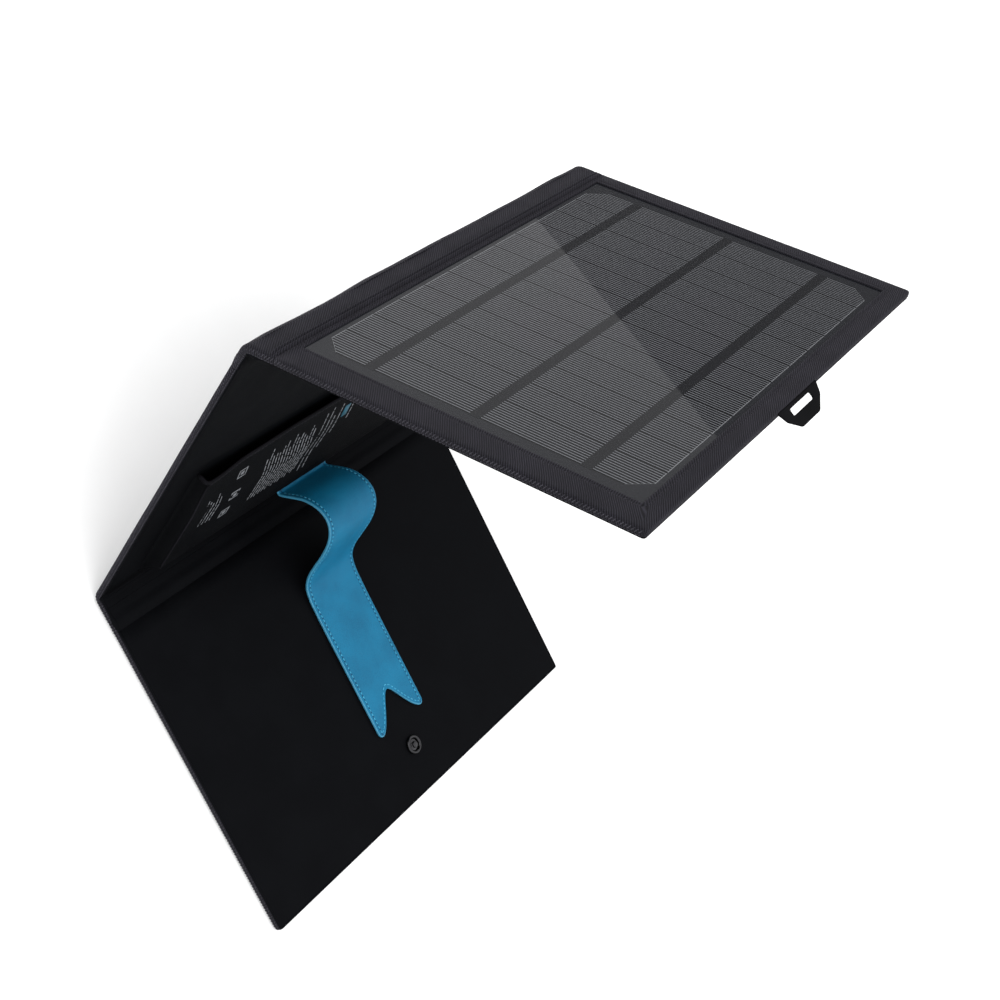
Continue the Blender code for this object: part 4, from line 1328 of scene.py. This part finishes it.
def make_print(pocket):
    """A care print of plain bars: a paragraph, headings over it, a table and three signs. It says nothing."""
    rng = np.random.default_rng(12)
    text = Slabs(pocket.at)
    mark = Slabs(pocket.at)

    def bar(slabs, x, y, length, breadth):
        slabs.add(rectangle(x, x + length, y - breadth / 2, y + breadth / 2), 0.10, -0.05)

    def line(x, y, end, breadth):
        """One line of words, each a bar with a gap after it."""
        while x < end - 1.0:
            length = min(float(rng.uniform(1.6, 6.0)), end - x)
            bar(text, x, y, length, breadth * float(rng.uniform(0.75, 1.0)))
            x += length + 0.8

    x0, x1, y0, y1 = PRINT_BLOCK
    for k in range(PRINT_LINES):
        y = y0 + (y1 - y0) * (k + 0.5) / PRINT_LINES
        line(x0 + float(rng.uniform(0.0, 3.0)), y, x1 - float(rng.uniform(0.0, 9.0)), 0.75)
    for y, start, end in PRINT_HEADINGS:
        line(start, y, end, 0.8)
    for y, start, end in PRINT_TABLE:
        line(start, y, end, 0.6)
    for x in PRINT_SIGNS:
        for y in (-82.9, -77.1):
            bar(text, x, y, 6.0, 0.7)
        for left in (x, x + 5.3):
            bar(text, left, -80.0, 0.7, 5.1)
        bar(text, x + 1.8, -80.0, 2.4, 2.4)
    bar(mark, *PRINT_MARK)
    place(text.piece("care_print", ["print"]), "middle", "lining_fabric")
    place(mark.piece("care_print_mark", ["blue_print"]), "middle", "lining_fabric")


# --- strap ---
STRAP_THICKNESS = 1.6
# Along the lower leaf from the fold's inner side, and height off its back.
STRAP_ARCH = [(8, 33), (14.5, 40), (21.6, 42.6), (28.5, 40.8), (34.5, 35.5), (39.5, 28), (44, 19),
              (48.5, 10.5), (54, 4.6), (61, 2.2), (70, 1.5)]
STRAP_ROOT = (20.2, (0.8, 4.0, 7.5))           # along the middle leaf, and heights off its back
STRAP_FLAT = 60.0             # from its tip, lying on the lower leaf
STRAP_LIE = 1.2               # height of its middle surface there
STRAP_BEND = (-1.0, 7.0)      # from its hinge, on both sides of which it stays stiff
STRAP_STEP = 1.6
TAIL_ROWS = [*(k / 10 for k in range(1, 10)), 0.97, 1.0]       # shares of the way to the notched end
NOTCH_DEPTH = 22.5
APEX_ROUND = 6.5
TIP_ROUND = 5.0


def smooth_line(points, step):
    """Points at about even steps on a Catmull-Rom curve through 2-D points."""
    ends = [2 * Vector(points[0]) - Vector(points[1]), 2 * Vector(points[-1]) - Vector(points[-2])]
    knots = [ends[0]] + [Vector(p) for p in points] + [ends[1]]
    dense = []
    for p0, p1, p2, p3 in zip(knots, knots[1:], knots[2:], knots[3:]):
        for k in range(24):
            t = k / 24
            dense.append(0.5 * (2 * p1 + (p2 - p0) * t + (2 * p0 - 5 * p1 + 4 * p2 - p3) * t * t
                                + (3 * p1 - p0 - 3 * p2 + p3) * t ** 3))
    dense.append(knots[-2])
    line, left = [dense[0]], step
    for a, b in zip(dense, dense[1:]):
        span = (b - a).length
        while span > left:
            a = a + (b - a) * (left / span)
            line.append(a.copy())
            span -= left
            left = step
        left -= span
    line.append(dense[-1])
    return line


class Strap:
    """The bent strap. s runs along its middle surface in millimetres, y across it."""

    def __init__(self):
        lower_back = LINKS["lower"].at(0, 0, BACK).z / MM
        self.root = Vector(JOINTS["strap_lift"]["pos_m"])
        inner = LINKS["middle"].origin.x / MM + (FRONT - BACK) / math.tan(STAND_ANGLE / 2)
        root = (self.root.x / MM, self.root.z / MM)
        link = LINKS["middle"]
        patch = [link.at(STRAP_ROOT[0], 0, BACK - height) for height in STRAP_ROOT[1]]
        points = [(p.x / MM, p.z / MM) for p in patch] + [root]
        points += [(inner + x, lower_back + z) for x, z in STRAP_ARCH]
        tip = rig.box("strap")[1][0] / MM
        points += [(tip - STRAP_FLAT, lower_back + STRAP_LIE), (tip, lower_back + STRAP_LIE)]
        self.line = smooth_line(points, STRAP_STEP)
        self.runs = [0.0]
        for a, b in zip(self.line, self.line[1:]):
            self.runs.append(self.runs[-1] + (b - a).length)
        self.end = self.runs[-1]
        self.root_s = min(zip(self.runs, self.line), key=lambda pair: (pair[1] - Vector(root)).length)[0]

    def at(self, s, y, lift):
        s = min(max(s, 0.0), self.end - 1e-4)
        k = max(i for i, r in enumerate(self.runs) if r <= s)
        k = min(k, len(self.line) - 2)
        t = (s - self.runs[k]) / (self.runs[k + 1] - self.runs[k])
        before = self.line[max(k, 1)] - self.line[max(k, 1) - 1]
        here = self.line[k + 1] - self.line[k]
        after = self.line[min(k + 2, len(self.line) - 1)] - self.line[min(k + 1, len(self.line) - 2)]
        run = (before + here).lerp(here + after, t).normalized()
        point = self.line[k].lerp(self.line[k + 1], t) + Vector((-run.y, run.x)) * lift
        return Vector((point.x * MM, y * MM, point.y * MM))

    def up(self, s):
        return (self.at(s, 0, 1) - self.at(s, 0, 0)).normalized()

    def end_at(self, y):
        """Where the strap ends at y: a swallowtail with full-sided points."""
        half = STRAP_WIDTH / 2
        share = (math.sqrt(y * y + APEX_ROUND ** 2) - APEX_ROUND) / half
        notch = NOTCH_DEPTH * max(1 - share, 0.0) ** 2.7
        over = max(abs(y) - (half - TIP_ROUND), 0.0) / TIP_ROUND
        return self.end - notch - TIP_ROUND * (1 - math.sqrt(max(1 - over * over, 0.0)))


def make_strap():
    strap = Strap()
    half, thick = STRAP_WIDTH / 2, STRAP_THICKNESS / 2
    line = steps(-half + 1.2, half - 1.2, 0.8)
    across = [(-half + 0.5, thick), *[(y, thick) for y in line], (half - 0.5, thick),
              (half - 0.12, thick * 0.7), (half, 0.0), (half - 0.12, -thick * 0.7), (half - 0.5, -thick),
              *[(y, -thick) for y in line[::-1]], (-half + 0.5, -thick),
              (-half + 0.12, -thick * 0.7), (-half, 0.0), (-half + 0.12, thick * 0.7)]
    columns = len(across)
    tail = strap.end - NOTCH_DEPTH - 6.0       # where the rows start to bend towards the notched end
    body = steps(0.0, tail, STRAP_STEP)
    points, uvs = [], []
    for s in body:
        for y, z in across:
            points.append(strap.at(s, y, z))
            uvs.append((s, y))
    for share in TAIL_ROWS:
        squeeze = 0.55 if share == 1.0 else 1.0
        for y, z in across:
            s = tail + (strap.end_at(y) - tail) * share
            points.append(strap.at(s, y, z * squeeze))
            uvs.append((s, y))
    rows = len(body) + len(TAIL_ROWS)
    faces, kinds = [], []
    for r in range(rows - 1):
        for c in range(columns):
            d = (c + 1) % columns
            faces.append((r * columns + c, (r + 1) * columns + c, (r + 1) * columns + d, r * columns + d))
            edge = abs(across[c][1]) < thick * 0.9 or abs(across[d][1]) < thick * 0.9
            kinds.append(1 if edge or r == rows - 2 else 0)
    for row in (0, rows - 1):
        ends = cap([row * columns + (columns - 2 + k) % columns for k in range(columns)])
        faces += ends
        kinds += [1 if row else 0] * len(ends)
    obj = add_piece("leather_strap", points, faces, uvs, ["leather", "edge"], kinds)
    face_outward(obj)
    ends = [strap.at(strap.root_s + off, 0, 0) for off in STRAP_BEND]
    bend(obj, ("middle", "strap"), *ends, "blue_leather", "strap", "strap_anchor")
    bend(strap_stitches(strap), ("middle", "strap"), *ends, "blue_leather")


def strap_stitches(strap):
    """One seam along both sides and round the notched end."""
    stitches = Stitches()
    inset = SEWN_LINE
    start, end = strap.root_s + 1.5, strap.end_at(inset) - SEWN_IN
    route = [(s, -inset) for s in steps(start, end, 1.2)]
    route += [(strap.end_at(y) - SEWN_IN * 1.15, y) for y in steps(-inset, inset, 0.8)]
    route += [(s, inset) for s in steps(end, start, 1.2)]
    path = [strap.at(s, y, STRAP_THICKNESS / 2 + 0.02) for s, y in route]
    stitches.run(path, [strap.up(s) for s, _ in route], *STRAP_GAUGE)
    return stitches.piece("strap_stitches", "blue_thread")


# --- snap and loop ---
LATHE_STEPS = 64
# Shares of the snap's radius: distance from its axis and height.
SNAP_RING = [(0.66, 0.0), (0.66, 0.13), (0.68, 0.18), (0.73, 0.235), (0.79, 0.262), (0.85, 0.268),
             (0.91, 0.255), (0.96, 0.215), (0.99, 0.16), (1.0, 0.10), (1.0, 0.0)]
SNAP_STUD = [(0.62, 0.0), (0.62, 0.05), (0.58, 0.072), (0.45, 0.078), (0.37, 0.09), (0.325, 0.12),
             (0.305, 0.18), (0.32, 0.25), (0.35, 0.30), (0.345, 0.34), (0.30, 0.375), (0.20, 0.40),
             (0.09, 0.412), (0.0, 0.413)]


def lathe(name, centre, radius, profile, material):
    """A turned piece that stands on centre, from (radius, height) shares."""
    points, faces, uvs = [], [], []
    turned = [p for p in profile if p[0] > 0]
    for k in range(LATHE_STEPS):
        angle = 2 * math.pi * k / LATHE_STEPS
        for r, h in turned:
            spoke = Vector((r * math.cos(angle), r * math.sin(angle), h))
            points.append(Vector(centre) + MM * radius * spoke)
            uvs.append((angle * r * radius, h * radius))
    n = len(turned)
    turns = [(k * n, (k + 1) % LATHE_STEPS * n) for k in range(LATHE_STEPS)]
    for a, b in turns:
        faces += [(b + i, a + i, a + i + 1, b + i + 1) for i in range(n - 1)]
    if len(turned) < len(profile):
        points.append(Vector(centre) + Vector((0, 0, profile[-1][1] * radius * MM)))
        uvs.append((0.0, 0.0))
        faces += [(b + n - 1, a + n - 1, len(points) - 1) for a, b in turns]
        faces.append(tuple(a for a, _ in turns[::-1]))
    else:
        faces += [(a, b, b + n - 1, a + n - 1) for a, b in turns]
    return add_piece(name, points, faces, uvs, [material])


def make_snap():
    low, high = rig.box("snap_ring")
    centre = ((low[0] + high[0]) / 2, (low[1] + high[1]) / 2, low[2])
    radius = (high[0] - low[0]) / 2 / MM
    ring = lathe("snap_ring_rolled", centre, radius, SNAP_RING[::-1], "gunmetal")
    place(ring, "lower", "gunmetal", "snap_ring")
    stud = lathe("snap_stud_pressed", centre, radius, SNAP_STUD, "gunmetal")
    place(stud, "lower", "gunmetal", "snap_stud")


# Along the tab, across it, and corner radius.
TAB_OUTLINE = [(-1.2, -20.0, 0.4), (4.7, -17.0, 4.0), (10.4, -9.0, 3.0), (10.4, 9.0, 3.0),
               (4.7, 17.0, 4.0), (-1.2, 20.0, 0.4)]
TAB_SLOT = [(0.9, -10.4, 1.1), (4.2, -10.4, 1.1), (4.2, 10.4, 1.1), (0.9, 10.4, 1.1)]
TAB_POINTS = 120
SLOT_POINTS = 400             # from which the nearest to each point of the outline is taken
TAB_ROUND = [(0.0, 0.0), (0.08, 0.32), (0.3, 0.52), (0.7, 0.6)]     # from the edge in, half thickness


def rounded_loop(corners, count):
    """Points at even steps round a closed outline with rounded corners."""
    dense = []
    n = len(corners)
    for i, (x, y, r) in enumerate(corners):
        here = Vector((x, y))
        back = (Vector(corners[i - 1][:2]) - here).normalized()
        ahead = (Vector(corners[(i + 1) % n][:2]) - here).normalized()
        half = back.angle(ahead) / 2
        reach = r / math.tan(half)
        a, b = here + back * reach, here + ahead * reach
        for k in range(9):
            t = k / 8
            dense.append(a * (1 - t) ** 2 + here * 2 * t * (1 - t) + b * t * t)
    total = sum((dense[(i + 1) % len(dense)] - dense[i]).length for i in range(len(dense)))
    line, left = [], 0.0
    for i in range(len(dense)):
        a, b = dense[i], dense[(i + 1) % len(dense)]
        span = (b - a).length
        while span > left:
            a = a + (b - a) * (left / span)
            line.append(a.copy())
            span -= left
            left = total / count
        left -= span
    return line[:count]


def make_loop_tab():
    """The loop's tab: a flat band round a slot, with rolled edges, that turns about its root."""
    joint = Vector(JOINTS["loop_tab_swing"]["pos_m"])
    upper = LINKS["upper"]
    x = (math.cos(TAB_TILT) * upper.x - math.sin(TAB_TILT) * upper.z).normalized()
    y = upper.y
    z = x.cross(y)
    count = TAB_POINTS
    outer = rounded_loop(TAB_OUTLINE, count)
    slot = rounded_loop(TAB_SLOT, SLOT_POINTS)
    inner = [min(slot, key=lambda q: (q - p).length) for p in outer]
    points, uvs = [], []
    rings = [(0, e, h) for e, h in TAB_ROUND] + [(1, e, h) for e, h in TAB_ROUND[::-1]]
    rings += [(1, e, -h) for e, h in TAB_ROUND[1:]] + [(0, e, -h) for e, h in TAB_ROUND[:0:-1]]
    for side, e, h in rings:
        for p, q in zip(outer, inner):
            toward = (q - p).normalized() if (q - p).length > 0 else Vector((1, 0))
            at = (p + toward * e) if side == 0 else (q - toward * e)
            points.append(joint + MM * (at.x * x + at.y * y + h * z))
            uvs.append((at.x, at.y))
    faces = []
    for r in range(len(rings)):
        a, b = r * count, (r + 1) % len(rings) * count
        for k in range(count):
            m = (k + 1) % count
            faces.append((a + k, a + m, b + m, b + k))
    obj = add_piece("hanging_loop", points, faces, uvs, ["webbing"])
    ends = joint - x * 0.6 * MM, joint + x * 0.8 * MM
    bend(obj, ("upper", "loop_tab"), *ends, "binding_fabric", "loop_tab")


# --- camera, lights, floor ---
CAMERA_POSITION = (-0.1633, -0.6209, 0.6890)
CAMERA_FORWARD = (0.18292, 0.73862, -0.64884)
CAMERA_UP = (-0.88289, 0.41374, 0.22209)
CAMERA_LENS = 60.93           # on a 36 mm wide sensor


def make_camera():
    data = bpy.data.cameras.new("camera")
    data.lens = CAMERA_LENS
    data.sensor_width = 36
    data.clip_start = 0.01
    camera = bpy.data.objects.new("camera", data)
    bpy.context.scene.collection.objects.link(camera)
    back = -Vector(CAMERA_FORWARD).normalized()
    right = Vector(CAMERA_UP).cross(back).normalized()
    up = back.cross(right)
    turn = Matrix((right, up, back)).transposed().to_4x4()
    camera.matrix_world = Matrix.Translation(CAMERA_POSITION) @ turn
    bpy.context.scene.camera = camera


def area_light(name, size, watts):
    data = bpy.data.lights.new(name, "AREA")
    data.shape = "RECTANGLE"
    data.size, data.size_y = size
    data.energy = watts
    light = bpy.data.objects.new(name, data)
    bpy.context.scene.collection.objects.link(light)
    return light


HORIZON = 0.17                # radiance of the studio
ZENITH = 1.6
RISE = (0.12, 0.7)            # heights on a unit sphere between which it changes
LAMPS = [
    # name, position, target, size, watts
    ("key", (-0.75, -0.85, 0.95), (-0.08, -0.05, 0.2), (1.0, 1.0), 7),
    ("fill", (0.9, -1.2, 0.9), (0.05, 0, 0.05), (1.2, 1.0), 5),
    ("far_fill", (1.0, 1.1, 0.9), (0.05, 0, 0.05), (1.2, 1.0), 3),
]
GLARE_EDGE = ((22.0, 57.5), (178.0, -59.5))   # along and across the upper leaf
GLARE_SIDE = (60.0, -60.0)
CARD_DISTANCE = 1.6
CARD_SIZE = (2.4, 1.0)
CARD_RADIANCE = 0.40


def make_world():
    """A studio that is brighter overhead than at the horizon, in front of a white backdrop."""
    world = bpy.data.worlds.new("studio")
    world.use_nodes = True
    tree = world.node_tree
    direction = tree.nodes.new("ShaderNodeTexCoord")
    parts = tree.nodes.new("ShaderNodeSeparateXYZ")
    ramp = tree.nodes.new("ShaderNodeMapRange")
    ramp.interpolation_type = "SMOOTHSTEP"
    for socket, number in zip(list(ramp.inputs)[1:5], (*RISE, HORIZON, ZENITH)):
        socket.default_value = number
    tree.links.new(direction.outputs["Generated"], parts.inputs[0])
    tree.links.new(parts.outputs[2], ramp.inputs[0])
    seen = tree.nodes.new("ShaderNodeLightPath")
    backdrop = tree.nodes.new("ShaderNodeMix")
    tree.links.new(seen.outputs["Is Camera Ray"], backdrop.inputs[0])
    tree.links.new(ramp.outputs[0], backdrop.inputs[2])
    backdrop.inputs[3].default_value = 1.0
    tree.links.new(backdrop.outputs[0], tree.nodes["Background"].inputs[1])
    tree.nodes["Background"].inputs[0].default_value = (1.0, 1.0, 1.0, 1.0)
    bpy.context.scene.world = world


def make_card():
    """A large dim card that the upper leaf mirrors to the camera, its edge a diagonal on the leaf."""
    link = LINKS["upper"]
    camera = Vector(CAMERA_POSITION)
    ahead = [link.at(x, y, FILM) for x, y in GLARE_EDGE]
    inside = link.at(*GLARE_SIDE, FILM)
    out = []
    for point in (*ahead, inside):
        ray = (point - camera).normalized()
        out.append((point, ray - 2 * ray.dot(link.z) * link.z))
    facing = -(out[0][1] + out[1][1]).normalized()
    centre = (out[0][0] + out[1][0]) / 2 - facing * CARD_DISTANCE
    first, second, third = (point + ray * ((centre - point).dot(facing) / ray.dot(facing))
                            for point, ray in out)
    edge = (second - first).normalized()
    across = (third - first) - (third - first).dot(edge) * edge
    across.normalize()
    middle = (first + second) / 2 + across * CARD_SIZE[1] / 2
    light = area_light("card", CARD_SIZE, CARD_RADIANCE * math.pi * CARD_SIZE[0] * CARD_SIZE[1])
    turn = Matrix((edge, facing.cross(-edge), -facing)).transposed().to_4x4()
    light.matrix_world = Matrix.Translation(middle) @ turn


def make_lights():
    make_world()
    make_card()
    for name, position, target, size, watts in LAMPS:
        light = area_light(name, size, watts)
        light.location = position
        light.rotation_euler = (Vector(target) - Vector(position)).to_track_quat("-Z", "Y").to_euler()


FLOOR_HALF = 1.7
FLOOR_DROP = 0.0005


def make_floor():
    paint = Paint("floor")
    grain = paint.noise(paint.object_point(), 40.0, 3.0)
    paint.set(Base_Color=paint.mix(grain, (0.93, 0.93, 0.93), (0.96, 0.96, 0.96)), Roughness=0.7,
              Specular_IOR_Level=0.1)
    mesh = bpy.data.meshes.new("floor")
    corners = rectangle(-FLOOR_HALF, FLOOR_HALF, -FLOOR_HALF, FLOOR_HALF)
    mesh.from_pydata([(x, y, 0) for x, y in corners], [], [(0, 1, 2, 3)])
    mesh.materials.append(paint.material)
    floor = bpy.data.objects.new("floor", mesh)
    bpy.context.scene.collection.objects.link(floor)
    floor.location.z = -FLOOR_DROP
    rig.stage(floor)


# --- CAD nodes that stay ---
def repaint():
    """Better materials for the CAD nodes that stay visible."""
    looks = {"circuit_board": "circuit", "board": "board", "black_plastic": "plastic",
             "gunmetal": "gunmetal", "lens": "lens", "copper": "copper", "lining_fabric": "lining",
             "binding_fabric": "tape", "blue_leather": "leather", "cover_fabric": "cover",
             "clear_sheet": "film", "solar_cell": "silicon", "ribbon": "ribbon"}
    for part in frame["record"]["subparts"]:
        obj = frame["nodes"][part["node"]]
        obj.data.materials.clear()
        obj.data.materials.append(MATERIALS[looks[part["material_slot"]]])


def write_sizes():
    boxes = {"cad": cad_box, "visual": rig.bounds()}
    with open("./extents.json", "w") as file:
        json.dump({name: [list(corner) for corner in box] for name, box in boxes.items()}, file)


repaint()
for leaf in LEAVES:
    make_cover(leaf)
    make_lining(leaf)
    make_laminate(leaf)
    make_leaf_stitches(leaf)
    make_welt_stitches(leaf)
make_hinges()
make_pocket()
make_strap()
make_snap()
make_loop_tab()
make_camera()
make_lights()
make_floor()
bpy.context.scene.view_settings.view_transform = "Standard"
write_sizes()
